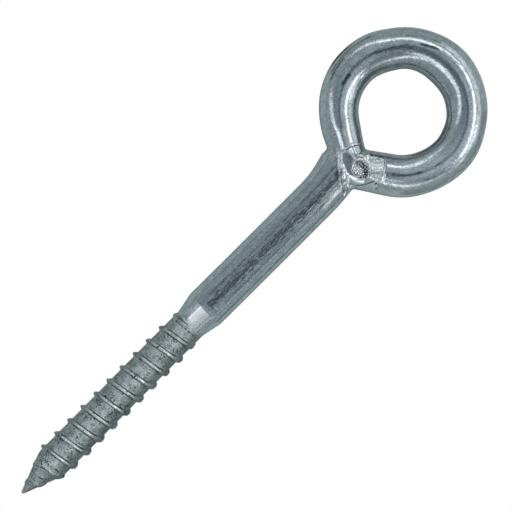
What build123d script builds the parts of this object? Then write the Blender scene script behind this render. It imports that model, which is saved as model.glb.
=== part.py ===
from build123d import *
from math import acos, atan2, cos, degrees, radians, sin
import os

# Screw eye in millimetres: one steel rod with a coarse rolled wood-screw thread. Its plain
# end is bent round to a closed eye and pressure-welded to the neck between two round dies.
# The origin is the eye's centre, the ring lies in the XY plane and the shank runs along -X
# to the point. The rod leaves the neck on the +Y side and its end comes back on the -Y side.

# Driving dimensions of the rod and the eye
EYE_INNER_DIAMETER = 23.0
EYE_WIRE_DIAMETER = 11.1
EYE_CORNER_REACH = 13.9         # from the eye's centre to the corner of its hole at the weld
SHANK_DIAMETER = 11.4
LENGTH_BELOW_EYE = 120.0        # from the ring's near edge to the point

# Driving dimensions of the neck, where the shank swells towards the bend
NECK_SWELL_LENGTH = 9.6
NECK_COLLAR_LENGTH = 2.4        # straight part, up to where the centre lines meet
NECK_WIDTH = 12.1
NECK_OFFSET = 1.2               # shift of the collar towards the bend
NECK_SECTIONS = 4

# Driving dimensions of the thread
CORE_DIAMETER = 9.1
THREAD_HEIGHT = 0.85
PITCH = 4.925
CORE_LENGTH = 63.0              # from the point to the taper
THREAD_LENGTH = 62.2            # from the point to where the ridge has sunk into the core
FIRST_FULL_CREST = 12.7         # from the point to the +Y crest of the first full turn
RIDGE_ROOT_WIDTH = 2.0
RIDGE_CREST_WIDTH = 0.6
RUN_OUT_TURNS = 1.25            # turns over which the ridge sinks into the core

# Driving dimensions of the point and of the taper between core and shank
POINT_LENGTH = 11.0
POINT_TIP_RADIUS = 0.4
POINT_RIDGE_HEIGHT = 0.25
POINT_RIDGE_NARROWING = 0.6     # width of the ridge on the point, as a part of the full width
TAPER_LENGTH = 5.8
TAPER_BLEND_RADIUS = 7.0

# Driving dimensions of the weld
WELD_SETBACK = 3.5              # from the meeting of the centre lines, along the welded end
KNUCKLE_DIAMETER = 11.4         # upset end of the rod, before the dies flatten it
DIE_DIAMETER = 13.2
DIE_GAP = 10.4                  # thickness over the two flats that the dies leave
DIE_EDGE_REACH = 5.0            # from the dies' axis to the straight side against the shank
STAMP_LENGTH = 5.7
STAMP_WIDTH = 4.4
STAMP_DEPTH = 0.35
STAMP_TURN = 18.0               # long axis, from square across the welded end

# Values that follow from them
wire_radius = EYE_WIRE_DIAMETER / 2
shank_radius = SHANK_DIAMETER / 2
core_radius = CORE_DIAMETER / 2
ring_radius = (EYE_INNER_DIAMETER + EYE_WIRE_DIAMETER) / 2
limb_angle = degrees(acos(EYE_INNER_DIAMETER / 2 / EYE_CORNER_REACH))
meeting_x = -ring_radius / cos(radians(limb_angle))
collar_x = meeting_x - NECK_COLLAR_LENGTH
neck_x = collar_x - NECK_SWELL_LENGTH
point_x = -ring_radius - wire_radius - LENGTH_BELOW_EYE
cone_top_x = point_x + POINT_LENGTH
taper_x = point_x + CORE_LENGTH
cone_slope = (core_radius - POINT_TIP_RADIUS) / (POINT_LENGTH - POINT_TIP_RADIUS)
root_sink = 0.4 * THREAD_HEIGHT     # how deep the ridge's root is buried in the core


def across(x, y=0.0, turn=0.0):
    """Plane square to the shank's axis at x, its own X axis turned from +Y about +X."""
    return Plane(
        origin=(x, y, 0),
        x_dir=(0, cos(radians(turn)), sin(radians(turn))),
        z_dir=(1, 0, 0),
    )


def polar(radius, angle):
    """Point of the XY plane at an angle in degrees from +X."""
    return (radius * cos(radians(angle)), radius * sin(radians(angle)))


def bent_eye():
    """Ring whose two limbs run on, straight and tangent, to meet on the shank's axis."""
    limb = Line((meeting_x, 0), polar(ring_radius, 180 - limb_angle))
    half_ring = TangentArc(limb @ 1, (ring_radius, 0), tangent=limb % 1)
    path = Wire([limb, half_ring])
    start = Plane(origin=path @ 0, z_dir=path % 0)
    half = sweep(start * Circle(wire_radius), path=path)
    return half + mirror(half, Plane.XZ)


def turned_rod():
    """Point, threaded core, taper and shank, turned about X as one profile."""
    flank = FilletPolyline(
        (point_x + POINT_TIP_RADIUS, POINT_TIP_RADIUS),
        (cone_top_x, core_radius),
        (taper_x, core_radius),
        (taper_x + TAPER_LENGTH, shank_radius),
        (neck_x, shank_radius),
        radius=[0, TAPER_BLEND_RADIUS, TAPER_BLEND_RADIUS],
    )
    close = Polyline(flank @ 1, (neck_x, 0), (point_x, 0), flank @ 0)
    return revolve(make_face([*flank.edges(), *close.edges()]), Axis.X)


def swollen_neck():
    """Neck that widens across the bend and leans towards it, at the shank's own height."""
    sections = []
    for step in range(NECK_SECTIONS):
        part = step / (NECK_SECTIONS - 1)
        half_width = shank_radius + part**2 * (NECK_WIDTH / 2 - shank_radius)
        plane = across(neck_x + part * NECK_SWELL_LENGTH, part**2 * NECK_OFFSET)
        sections.append(plane * Ellipse(half_width, shank_radius))
    collar = extrude(sections[-1], amount=NECK_COLLAR_LENGTH)
    return loft(sections) + collar


def core_radius_at(x):
    """Radius of the cone or of the core at x."""
    on_cone = POINT_TIP_RADIUS + cone_slope * (x - point_x - POINT_TIP_RADIUS)
    return max(0.2, min(on_cone, core_radius))


def ridge_stations():
    """Stations of the ridge: x, height above the core and part of the full width."""
    start_x = point_x + 3 * POINT_TIP_RADIUS
    full_x = point_x + FIRST_FULL_CREST
    rise_x = full_x - PITCH
    end_x = point_x + THREAD_LENGTH
    run_out_x = end_x - RUN_OUT_TURNS * PITCH
    at_cone_top = (cone_top_x - rise_x) / PITCH
    cone_top_height = POINT_RIDGE_HEIGHT + at_cone_top * (THREAD_HEIGHT - POINT_RIDGE_HEIGHT)
    return [
        (start_x, -0.3 * root_sink, POINT_RIDGE_NARROWING),
        (rise_x, POINT_RIDGE_HEIGHT, POINT_RIDGE_NARROWING),
        (cone_top_x, cone_top_height, 1.0),
        (full_x, THREAD_HEIGHT, 1.0),
        (run_out_x, THREAD_HEIGHT, 1.0),
        (end_x, -0.3 * root_sink, 1.0),
    ]


def ridge_corners(station):
    """The ridge's section at a station: x and radius of root, crest, crest and root."""
    x, height, width = station
    root = width * RIDGE_ROOT_WIDTH / 2
    crest = width * RIDGE_CREST_WIDTH / 2
    crest_radius = core_radius_at(x) + height
    return [
        (x - root, core_radius_at(x - root) - root_sink),
        (x - crest, crest_radius),
        (x + crest, crest_radius),
        (x + root, core_radius_at(x + root) - root_sink),
    ]


def ridge_edge(start, end, start_turn, end_turn):
    """Right-hand helix about X between two points given as x and radius."""
    run = end[0] - start[0]
    slope = atan2(end[1] - start[1], run)
    helix = Helix(
        pitch=run / (end_turn - start_turn) / cos(slope),   # measured along the cone's side
        height=run,
        radius=start[1],
        cone_angle=degrees(slope),
    )
    return across(start[0], turn=360 * start_turn) * helix


def ridge_end(corners, turn):
    """Flat face that closes the ridge at one of its ends."""
    plane = across(0, turn=360 * turn)
    points = [plane.from_local_coords((radius, 0, x)) for x, radius in corners]
    return Face(Wire.make_polygon(points, close=True))


def thread_ridge():
    """Ridge of the thread: ruled faces between the helices of its root and of its crest."""
    stations = ridge_stations()
    full_x = point_x + FIRST_FULL_CREST
    turns = [(station[0] - full_x) / PITCH for station in stations]
    corners = [ridge_corners(station) for station in stations]
    faces = [ridge_end(corners[0], turns[0]), ridge_end(corners[-1], turns[-1])]
    for step in range(len(stations) - 1):
        edges = [
            ridge_edge(begin, end, turns[step], turns[step + 1])
            for begin, end in zip(corners[step], corners[step + 1])
        ]
        for side, edge in enumerate(edges):
            faces.append(Face.make_surface_from_curves(edge, edges[(side + 1) % 4]))
    return Solid(Shell(faces))


def weld_place():
    """Plane on the dies' axis, its X axis square across the welded end of the rod."""
    along = Vector(*polar(1, limb_angle - 90))
    centre = Vector(meeting_x, 0, 0) + along * WELD_SETBACK
    return Plane(origin=centre, x_dir=along.rotate(Axis.Z, 90), z_dir=(0, 0, 1))


def knuckle():
    """Upset end of the rod: a ball on the dies' axis."""
    return weld_place() * Sphere(KNUCKLE_DIAMETER / 2)


def die_cut(side):
    """What one die presses away, on top for side 1 and underneath for side -1."""
    depth = KNUCKLE_DIAMETER
    round_die = Cylinder(DIE_DIAMETER / 2, depth)
    clear = DIE_DIAMETER
    straight_side = Rot(0, 0, 135) * Pos(DIE_EDGE_REACH + clear / 2, 0) * Box(clear, 2 * clear, depth)
    place = Plane(weld_place().origin) * Pos(0, 0, side * (DIE_GAP + depth) / 2)
    return place * (round_die - straight_side)


def stamp():
    """Oval that the upper die leaves in its flat."""
    place = weld_place() * Pos(0, 0, DIE_GAP / 2 - STAMP_DEPTH) * Rot(0, 0, STAMP_TURN)
    return extrude(place * Ellipse(STAMP_LENGTH / 2, STAMP_WIDTH / 2), amount=KNUCKLE_DIAMETER)


def screw_eye():
    """The whole part as one solid."""
    rod = turned_rod() + swollen_neck() + bent_eye() + knuckle()
    pressed = rod - die_cut(1) - die_cut(-1) - stamp()
    return (pressed + thread_ridge()).solid()


os.makedirs("parts", exist_ok=True)
part = screw_eye()
part.label = "screw_eye"
export_step(part, "parts/screw_eye.step")
print("screw_eye", round(part.volume, 1), part.is_valid, part.bounding_box())
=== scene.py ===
"""A welded screw eye in bright zinc-plated steel, lying flat under soft studio light.

The whole eye is one closed skin: a rolled thread with a gimlet point, a plain shank, a neck that
swells into the ring, and the pressed weld where the ring's free end is joined to the neck.
"""

import logging
import math
from dataclasses import dataclass, field
from enum import Enum
from functools import reduce

import bmesh
import bpy
import numpy as np
from mathutils import Matrix, Vector


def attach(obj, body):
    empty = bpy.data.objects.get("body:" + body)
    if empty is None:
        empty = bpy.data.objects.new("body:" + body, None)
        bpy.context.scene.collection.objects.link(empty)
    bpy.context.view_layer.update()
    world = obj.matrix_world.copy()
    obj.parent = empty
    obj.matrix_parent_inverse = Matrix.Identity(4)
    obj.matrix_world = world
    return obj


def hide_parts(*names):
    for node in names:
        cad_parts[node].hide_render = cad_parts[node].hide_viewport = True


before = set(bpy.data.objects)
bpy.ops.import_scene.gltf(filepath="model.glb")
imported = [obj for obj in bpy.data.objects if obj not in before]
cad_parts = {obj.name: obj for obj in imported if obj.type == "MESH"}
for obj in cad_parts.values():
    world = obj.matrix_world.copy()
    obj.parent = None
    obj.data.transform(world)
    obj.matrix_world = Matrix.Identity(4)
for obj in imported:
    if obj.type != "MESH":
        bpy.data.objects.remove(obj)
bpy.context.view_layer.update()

LOG = logging.getLogger("screw_eye")
Socket = bpy.types.NodeSocket
MM = 0.001
AROUND = 144
QUARTER = AROUND // 4
THETA = np.arange(AROUND) * (2.0 * math.pi / AROUND)
DIAGONAL = 0.707        # cosine of 45 degrees
RING_RADIUS = 17.03     # mm, of the ring's middle line
RING_END = 145.83       # degrees round the eye, where the bent ring ends and its limbs start
RING_RUN = 20.0         # mm, where the ring starts in rod_space
ROD_SPACE_RADIUS = 5.6  # mm, of the rod in rod_space


class Side(Enum):
    """Which limb of the ring, as the sign of its angle."""

    UPPER = 1.0
    LOWER = -1.0


def ease(low: float, high: float, value: np.ndarray) -> np.ndarray:
    """A smooth step: 0 below low, 1 above high, 3t^2 - 2t^3 in between.

    Args:
        low: Value where the step starts.
        high: Value where the step ends.
        value: Values to map.

    Returns:
        The step at each value.
    """
    t = np.clip((value - low) / (high - low), 0.0, 1.0)
    return t * t * (3.0 - 2.0 * t)


def bell(centre: float, spread: float, value: np.ndarray) -> np.ndarray:
    """A bell curve: exp(-((value - centre) / spread)^2).

    Args:
        centre: Where the bell stands.
        spread: Its half width at 1/e of its height.
        value: Values to map.

    Returns:
        The bell's height, from 0 to 1, at each value.
    """
    return np.exp(-(((value - centre) / spread) ** 2))


def soft_min(a: np.ndarray, b: np.ndarray, blend: float) -> np.ndarray:
    """The smaller of two fields, rounded over where they are about equal.

    The formula is min(a, b) - h^2 * blend / 4 with h = max(blend - |a - b|, 0) / blend.

    Args:
        a: First field.
        b: Second field.
        blend: Width of the rounding.

    Returns:
        The rounded minimum.
    """
    h = np.maximum(blend - np.abs(a - b), 0.0) / blend
    return np.minimum(a, b) - h * h * blend * 0.25


def soft_over(value: np.ndarray, blend: float) -> np.ndarray:
    """The part of a value above 0, rounded over where it is within blend of 0.

    Args:
        value: Values to cut off.
        blend: Width of the rounding.

    Returns:
        The rounded max(value, 0).
    """
    return -soft_min(-value, np.zeros_like(value), blend)


def wander(phase: float, *waves: tuple[float, float, np.ndarray]) -> np.ndarray:
    """A smooth irregular wave, made of sines that don't share a period.

    Args:
        phase: Start of the first sine; each next one starts 1.7 later.
        waves: The height, the rate and the values that each sine runs over.

    Returns:
        The sum of height * sin(rate * value + phase).
    """
    rows = enumerate(waves)
    return sum(h * np.sin(rate * value + phase + 1.7 * n) for n, (h, rate, value) in rows)


@dataclass(frozen=True)
class Patch:
    """One grid of the skin: points in mm, and what the finish needs to know at each of them."""

    points: np.ndarray
    rod_space: np.ndarray
    zones: np.ndarray
    wear: np.ndarray
    quads: np.ndarray


@dataclass(frozen=True)
class Swell:
    """A slight swelling along the rod, or a flat where its height is negative."""

    height: float
    centre: float
    spread: float

    def at(self, place: np.ndarray) -> np.ndarray:
        """The swelling at each place: height times a bell about the centre."""
        return self.height * bell(self.centre, self.spread, place)


@dataclass(frozen=True)
class ThreadForm:
    """The rolled thread: a core with one helical ridge, and a gimlet point.

    Lengths are in mm, and u is the distance from the tip along the axis.
    """

    core_radius: float = 4.54
    pitch: float = 4.925
    first_full_crest: float = 12.7
    ridge_height: float = 0.86
    point_slope: float = 0.38
    point_radius: float = 0.35
    point_blend: float = 0.35
    point_ridge_height: float = 0.28
    point_ridge_starts: tuple[float, float] = (0.9, 2.8)
    full_ridge_starts: float = 8.4
    nose_length: float = 1.0
    nose_bulge: float = 0.78
    rib_width: float = 0.60
    bulb_width: float = 0.98
    fin_edge: float = -0.15
    fin_front: float = 0.42
    fin_back: float = 1.05
    run_out_start: float = 56.5
    run_out_low: float = 60.5
    run_out_left: float = 0.52
    run_out_end: float = 63.1
    run_out_stop: float = 0.7
    start_loop: float = 1.0
    end_loop: float = 64.6
    columns: int = 20
    crowding: float = 0.6

    def core(self, u: np.ndarray) -> np.ndarray:
        """Radius of the core: a straight cone rounded over into the cylinder, with a blunt nose.

        Args:
            u: Distances from the tip.

        Returns:
            The core's radius at each distance.
        """
        cone = self.point_radius + self.point_slope * u
        body = soft_min(cone, np.full_like(cone, self.core_radius), self.point_blend)
        nose = self.nose_bulge * np.sqrt(np.clip(u, 0.0, None))
        return np.where(u > self.nose_length, body, np.minimum(body, nose))

    def height(self, u: np.ndarray) -> np.ndarray:
        """Height of the ridge: low on the point, full on the cylinder, running out before the taper.

        Args:
            u: Distances from the tip.

        Returns:
            The ridge's full height over the core at each distance.
        """
        full = ease(self.full_ridge_starts, self.first_full_crest, u)
        low = self.point_ridge_height * ease(*self.point_ridge_starts, u)
        rise = low * (1.0 - full) + self.ridge_height * full
        return rise * self.run_out(u)

    def run_out(self, u: np.ndarray) -> np.ndarray:
        """How much of the ridge is left where it ends: it sinks to about half, then stops short.

        Args:
            u: Distances from the tip.

        Returns:
            The share of the ridge's height at each distance.
        """
        sunk = (1.0 - self.run_out_left) * ease(self.run_out_start, self.run_out_low, u)
        return (1.0 - sunk) * ease(self.run_out_end, self.run_out_end - self.run_out_stop, u)

    def ridge(self, u: np.ndarray, theta: np.ndarray) -> tuple[np.ndarray, np.ndarray]:
        """The ridge across its helix: a narrow rib, a blunt fin at +Y and a fat bulb at -Y.

        Each profile is (1 - (|d| / w)^p)^q, where d is the axial distance from the nearest crest
        and w its width: p and q are 3 and 0.8 for the rib, 3 and 0.7 for the bulb. The fin's are 2
        and 1, and its d is measured from its edge, with another width towards the tip than towards
        the shank. The angle from +Y says which of them holds.

        Args:
            u: Distances from the tip.
            theta: Angles round the axis.

        Returns:
            The ridge's height over the core, and its shape from 0 to 1.
        """
        start = self.first_full_crest + self.pitch * theta / (2.0 * math.pi)
        drift = wander(0.4, (0.04, 0.9, u), (0.03, 2.0, theta))
        d = np.mod(u + drift - start + self.pitch / 2, self.pitch) - self.pitch / 2
        side = np.cos(theta)
        past = d - self.fin_edge
        fin = np.where(past < 0.0, -past / self.fin_front, past / self.fin_back)
        fin = 1.0 - np.clip(fin, 0.0, 1.0) ** 2.0
        rib = (1.0 - np.clip(np.abs(d) / self.rib_width, 0.0, 1.0) ** 3.0) ** 0.8
        bulb = (1.0 - np.clip(np.abs(d) / self.bulb_width, 0.0, 1.0) ** 3.0) ** 0.7
        to_fin, to_bulb = ease(0.55, 0.95, side), ease(-0.50, -0.86, side)
        shape = rib * (1.0 - to_fin - to_bulb) + fin * to_fin + bulb * to_bulb
        uneven = 1.0 + wander(1.1, (0.05, 3.0, theta), (0.05, 1.3, u), (0.04, 7.0, theta + u))
        return self.height(u) * shape * uneven * (1.0 - 0.10 * side), shape

    def lattice(self) -> tuple[np.ndarray, np.ndarray, np.ndarray]:
        """A grid that follows the helix, so that a row of points runs along the crest.

        Row i and column j stand at u = crest + crowded(i) + pitch * j / AROUND, held between the
        two end loops, and the last column meets the first one a whole pitch of rows further on.

        Returns:
            The distances u, the angles theta and the quads that join them.
        """
        first = self.first_full_crest % self.pitch - 2 * self.pitch
        turns = math.ceil((self.end_loop - first) / self.pitch) + 2
        share = np.arange(turns * self.columns) / self.columns
        step = share - self.crowding * np.sin(2.0 * math.pi * share) / (2.0 * math.pi)
        turn = np.arange(AROUND) / AROUND
        u = first + self.pitch * (step[:, None] + turn[None, :])
        u = np.clip(u, self.start_loop, self.end_loop)
        theta = np.broadcast_to(THETA, u.shape)
        rows = np.arange(len(share) - self.columns - 1)[:, None]
        cols = np.arange(AROUND)[None, :]
        wraps = (cols + 1) // AROUND
        here = rows * AROUND + cols
        across = (rows + wraps * self.columns) * AROUND + (cols + 1) % AROUND
        quads = np.stack([here, here + AROUND, across + AROUND, across], axis=-1).reshape(-1, 4)
        return u, theta, quads


@dataclass(frozen=True)
class ShankForm:
    """The plain shank between the thread and the neck, with the taper behind the thread.

    Lengths are in mm in the part's own frame: the eye's centre is the origin, the tip is at -X.
    """

    tip: float = -142.6
    radius: float = 5.66
    taper_start: float = 63.2
    taper_end: float = 68.8
    taper_root: float = 4.52
    taper_foot_blend: float = 0.10
    taper_top_blend: float = 0.07
    facet_top: float = 1.5
    facet_lean: float = 0.165
    bow: Swell = Swell(0.16, 55.0, 24.0)
    neck_start: float = -32.6
    neck_length: float = 9.6
    neck_upper: float = 1.63
    neck_lower: float = -0.74
    last_loop: float = -30.0
    row_step: float = 1.2
    taper_step: float = 0.2

    def radius_at(self, x: np.ndarray, core: np.ndarray) -> np.ndarray:
        """Radius of the rod: the thread's core, a straight cone up to the shank, then the shank.

        Args:
            x: Places along the axis.
            core: The thread's core radius at the same places.

        Returns:
            The rod's radius at each place.
        """
        u = x - self.tip
        slope = (self.radius - self.taper_root) / (self.taper_end - self.taper_start)
        cone = self.taper_root + slope * (u - self.taper_start)
        capped = soft_min(cone, np.full_like(cone, self.radius), self.taper_top_blend)
        return -soft_min(-capped, -core, self.taper_foot_blend)

    def facet(self, points: np.ndarray, radius: np.ndarray) -> tuple[np.ndarray, np.ndarray]:
        """Presses a flat on the taper's upper and lower sides, as the rolling dies leave it.

        The height is held to z0 - lean d, where d is the distance from the facet's upper edge and
        z0 the rod's own height there.

        Args:
            points: Points of the rod, rows by AROUND by 3.
            radius: The rod's radius at each point.

        Returns:
            The points with the facets pressed in, and the facets' mask.
        """
        u = points[..., 0] - self.tip
        d = self.facet_top - (points[..., 1] - self.middle(points[..., 0]))
        top = np.sqrt(np.maximum(radius**2 - self.facet_top**2, 1.0)) - self.facet_lean * d
        start = ease(self.taper_start, self.taper_start + 0.3, u)
        share = start * ease(self.taper_end, self.taper_end - 0.2, u) * (d > 0.0)
        over = soft_over(np.abs(points[..., 2]) - top, 0.10)
        pressed = points.copy()
        pressed[..., 2] -= np.sign(points[..., 2]) * over * share
        return pressed, share * ease(0.0, 0.04, over)

    def middle(self, x: np.ndarray) -> np.ndarray:
        """Offset of the rod's middle from the axis: a slight bow, and the neck's lean to +Y."""
        bow = self.bow.at(x - self.tip)
        return bow + 0.5 * (self.neck_upper - self.neck_lower) * self.swell(x)

    def half_width(self, x: np.ndarray) -> np.ndarray:
        """Half width of the neck in the plane of the ring."""
        return self.radius + 0.5 * (self.neck_upper + self.neck_lower) * self.swell(x)

    def swell(self, x: np.ndarray) -> np.ndarray:
        """How far the neck has swollen, from 0 at its start to 1 at the ring: s^2 (1.1 - 0.1 s^2)."""
        s = np.clip((x - self.neck_start) / self.neck_length, 0.0, 1.0)
        return s * s * (1.1 - 0.1 * s * s)

    def loop(self, x: np.ndarray) -> np.ndarray:
        """Cross sections of the shank: an ellipse about the middle at each place.

        Args:
            x: Places along the axis, one per row.

        Returns:
            Points, rows by AROUND by 3.
        """
        rows = x[:, None]
        y = self.middle(rows) + self.half_width(rows) * np.cos(THETA)
        z = np.broadcast_to(self.radius * np.sin(THETA), y.shape)
        return np.stack([np.broadcast_to(rows, y.shape), y, z], axis=-1)


@dataclass(frozen=True)
class RingForm:
    """The ring: a round rod bent to a circle about the origin, with two straight limbs.

    Lengths are in mm; phi is the angle round the eye from +X.
    """

    middle_radius: float = RING_RADIUS
    half_width: float = 5.53
    half_height: float = 5.53
    limb_start: float = math.radians(RING_END)
    bends: tuple[Swell, ...] = (
        Swell(0.22, 95.0, 24.0),
        Swell(-0.20, 56.0, 11.0),
        Swell(-0.17, -114.0, 15.0),
        Swell(0.13, -80.0, 11.0),
    )
    limb_drop: float = 0.19
    bulges: tuple[Swell, ...] = (
        Swell(0.44, 1.0, 21.0),
        Swell(-0.17, -54.0, 13.0),
        Swell(0.16, 69.0, 12.0),
        Swell(0.11, -138.0, 20.0),
    )
    limb_thinning: float = 0.33
    row_step: float = 0.8

    def middle_at(self, phi: np.ndarray) -> np.ndarray:
        """Radius of the ring's middle line, with the slight flats and swells left by bending.

        Args:
            phi: Angles round the eye.

        Returns:
            The radius plus all the bends, less the drop towards the upper limb.
        """
        deg = np.degrees(phi)
        drop = self.limb_drop * ease(118.0, 146.0, deg)
        return self.middle_radius + sum(bend.at(deg) for bend in self.bends) - drop

    def width_at(self, phi: np.ndarray) -> np.ndarray:
        """Half width of the rod in the plane: thickest opposite the neck, drawn thin at the upper limb.

        Args:
            phi: Angles round the eye.

        Returns:
            The half width plus all the bulges, less the thinning towards the upper limb.
        """
        deg = np.degrees(phi)
        thinning = self.limb_thinning * ease(92.0, 150.0, deg)
        return self.half_width + sum(bulge.at(deg) for bulge in self.bulges) - thinning

    def loop(self, phi: np.ndarray) -> np.ndarray:
        """Cross sections of the ring: an ellipse about the middle line at each angle.

        Args:
            phi: Angles round the eye, one per row.

        Returns:
            Points, rows by AROUND by 3.
        """
        rows = phi[:, None]
        reach = self.middle_at(rows) + self.width_at(rows) * np.cos(THETA)
        z = np.broadcast_to(self.half_height * np.sin(THETA), reach.shape)
        return np.stack([reach * np.cos(rows), reach * np.sin(rows), z], axis=-1)

    def limb_axis(self, side: Side) -> tuple[np.ndarray, np.ndarray]:
        """Where a limb leaves the circle, and the tangent that it follows to the neck.

        Args:
            side: Which limb.

        Returns:
            The start of the limb's middle line, and its unit direction, in the plane.
        """
        phi = np.array(side.value * self.limb_start)
        out = np.array([math.cos(phi), math.sin(phi)])
        along = np.array([-math.sin(phi), math.cos(phi)]) * side.value
        return float(self.middle_at(phi)) * out, along


@dataclass(frozen=True)
class WeldForm:
    """The joint of neck and ring: two limbs run into the neck, and a round die has pressed them.

    Its skin is where a field is zero. The field is the rounded union of the neck and both limbs,
    each an elliptic tube with a rounded end. Lengths are in mm.
    """

    shank: ShankForm
    ring: RingForm
    die_x: float = -18.7
    die_y: float = -2.8
    die_radius: float = 6.6
    die_edge: float = 5.15
    die_turn: float = math.radians(138.3)
    flat_height: float = 4.20
    flat_slope: float = 0.07
    roof_line: float = 16.19
    roof_height: float = 5.48
    inner_slope: float = 0.37
    outer_slope: float = 0.24
    roof_blend: float = 0.3
    roof_start: tuple[float, float] = (-10.4, -9.3)
    upper_top: float = 4.80
    upper_slope: float = 0.22
    upper_edge: tuple[float, float] = (-15.4, 2.8)
    upper_fall: tuple[float, float] = (-0.98, -0.17)
    limb_split: tuple[float, float] = (-1.4, 0.2)
    split_x: float = -14.0
    split_lean: float = 0.35
    face_blend: float = 0.12
    shoulder: tuple[float, float] = (-18.0, -1.5)
    shoulder_start: float = 3.5
    shoulder_end: float = 5.0
    shoulder_slope: float = 0.6
    shoulder_begins: tuple[float, float] = (112.0, 128.0)
    shoulder_ends: tuple[float, float] = (276.0, 258.0)
    upper_reach: float = 10.0
    lower_reach: float = 8.1
    upper_end_width: float = 4.62
    upper_bend: float = 0.95
    upper_thickening: float = 0.4
    lower_end_width: float = 5.45
    lower_end_height: float = 4.2
    lower_thinning: tuple[float, float] = (0.62, 1.0)
    neck_end: float = -21.0
    ball_radius: float = 4.55
    ball_height: float = 5.40
    ledge_low: float = 2.4
    ledge_rise: float = 2.5
    ledge_climb: tuple[float, float] = (-2.2, 0.8)
    crease_blend: float = 0.6
    ball_blend: float = 0.3
    stamp_length: float = 5.3
    stamp_width: float = 4.05
    stamp_turn: float = math.radians(63.0)
    stamp_depth: float = 0.16
    stamp_slope: float = 0.22
    stamp_above: float = 3.0
    stamp_fall: tuple[float, float] = (-0.98, -0.2)
    stamp_rim: float = 0.10
    burr_height: float = 0.06
    burr_offset: float = 0.35
    burr_spread: float = 0.75
    burr_begins: tuple[float, float] = (-5.6, -4.0)
    burr_ends: tuple[float, float] = (7.2, 5.9)
    burr_reach: tuple[float, float] = (8.5, 7.6)
    rows: int = 60
    corner_upper: tuple[float, float] = (-20.9, 7.3)
    corner_inner: tuple[float, float] = (-13.9, 0.0)
    corner_lower: tuple[float, float] = (-23.4, -5.1)
    crown: tuple[float, float] = (-19.6, 0.2)

    def tube(self, p: np.ndarray, side: Side, reach: float, end_width: float) -> np.ndarray:
        """Field of one limb: (|(across / a, up / b, beyond / a)| - 1) times the smaller half size.

        Args:
            p: Points.
            side: Which limb.
            reach: Length of its middle line.
            end_width: Its half width at its end.

        Returns:
            About the distance from the limb's skin, negative inside.
        """
        start, along = self.ring.limb_axis(side)
        rel = p[..., :2] - start
        run = rel @ along
        t = np.clip(run / reach, 0.0, 1.0)
        first = float(self.ring.width_at(np.array(side.value * self.ring.limb_start)))
        a = first + (end_width - first) * t * t * (3 - 2 * t)
        whole = self.ring.half_height
        b = whole - (whole - self.lower_end_height) * ease(*self.lower_thinning, t)
        across = rel[..., 0] * along[1] - rel[..., 1] * along[0]
        if side is Side.UPPER:
            b = np.minimum(whole, a + self.upper_thickening * (1.0 - t))
            across = across + self.upper_bend * t * t
        beyond = np.maximum(run - reach, 0.0)
        r = np.sqrt((across / a) ** 2 + (p[..., 2] / b) ** 2 + (beyond / a) ** 2)
        return (r - 1.0) * np.minimum(a, b)

    def ball(self, p: np.ndarray) -> np.ndarray:
        """Field of the upset end: a squarish ball, (((out / a)^4 + (up / b)^4)^(1/4) - 1) a.

        Args:
            p: Points.

        Returns:
            About the distance from the ball's skin, negative inside.
        """
        out = np.hypot(p[..., 0] - self.die_x, p[..., 1] - self.die_y) / self.ball_radius
        up = np.abs(p[..., 2]) / self.ball_height
        return (np.sqrt(np.sqrt(out**4 + up**4)) - 1.0) * self.ball_radius

    def neck(self, p: np.ndarray) -> np.ndarray:
        """Field of the neck: an elliptic tube with a rounded end, cut down by the die to a ledge.

        Args:
            p: Points.

        Returns:
            About the distance from the neck's skin, negative inside.
        """
        x = p[..., 0]
        half = self.shank.half_width(x)
        across = (p[..., 1] - self.shank.middle(x)) / half
        r = np.sqrt(across**2 + (p[..., 2] / self.shank.radius) ** 2)
        beyond = np.maximum(x - self.neck_end, 0.0)
        body = np.sqrt((r * self.shank.radius) ** 2 + beyond**2) - self.shank.radius
        into, along = self.die_frame(p)
        ledge = self.ledge_low + self.ledge_rise * ease(*self.ledge_climb, along)
        cut = np.minimum(self.die_edge - into, np.abs(p[..., 2]) - ledge)
        return np.maximum(body, cut)

    def die_frame(self, p: np.ndarray) -> tuple[np.ndarray, np.ndarray]:
        """Places relative to the die.

        Args:
            p: Points.

        Returns:
            How far each point is towards the die's straight side, and along that side.
        """
        x, y = p[..., 0] - self.die_x, p[..., 1] - self.die_y
        c, s = math.cos(self.die_turn), math.sin(self.die_turn)
        return x * c + y * s, x * s - y * c

    def field(self, p: np.ndarray) -> np.ndarray:
        """The joint's field: the neck, the two limbs and the ball, rounded into each other.

        Args:
            p: Points.

        Returns:
            About the distance from the joint's skin, negative inside.
        """
        upper = self.tube(p, Side.UPPER, self.upper_reach, self.upper_end_width)
        lower = self.tube(p, Side.LOWER, self.lower_reach, self.lower_end_width)
        rod = soft_min(self.neck(p), upper, self.crease_blend)
        return soft_min(soft_min(rod, lower, self.crease_blend), self.ball(p), self.ball_blend)

    def slope(self, p: np.ndarray) -> np.ndarray:
        """Gradient of the field: (field(p + h) - field(p - h)) / 2h along each axis.

        Args:
            p: Points.

        Returns:
            The gradients, rows of 3.
        """
        h = 1e-3
        parts = [(self.field(p + h * e) - self.field(p - h * e)) / (2 * h) for e in np.eye(3)]
        return np.stack(parts, axis=-1)

    def settle(self, p: np.ndarray, steps: int = 12) -> np.ndarray:
        """Moves points onto the skin by Newton steps p - field * slope / |slope|^2.

        Args:
            p: Points near the skin.
            steps: How many steps to take.

        Returns:
            Points on the skin.
        """
        for _ in range(steps):
            g = self.slope(p)
            step = (self.field(p) / np.maximum((g * g).sum(-1), 0.2))[..., None] * g
            size = np.linalg.norm(step, axis=-1, keepdims=True)
            p = p - step * np.minimum(1.0, 0.8 / np.maximum(size, 1e-9))
        return p

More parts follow.
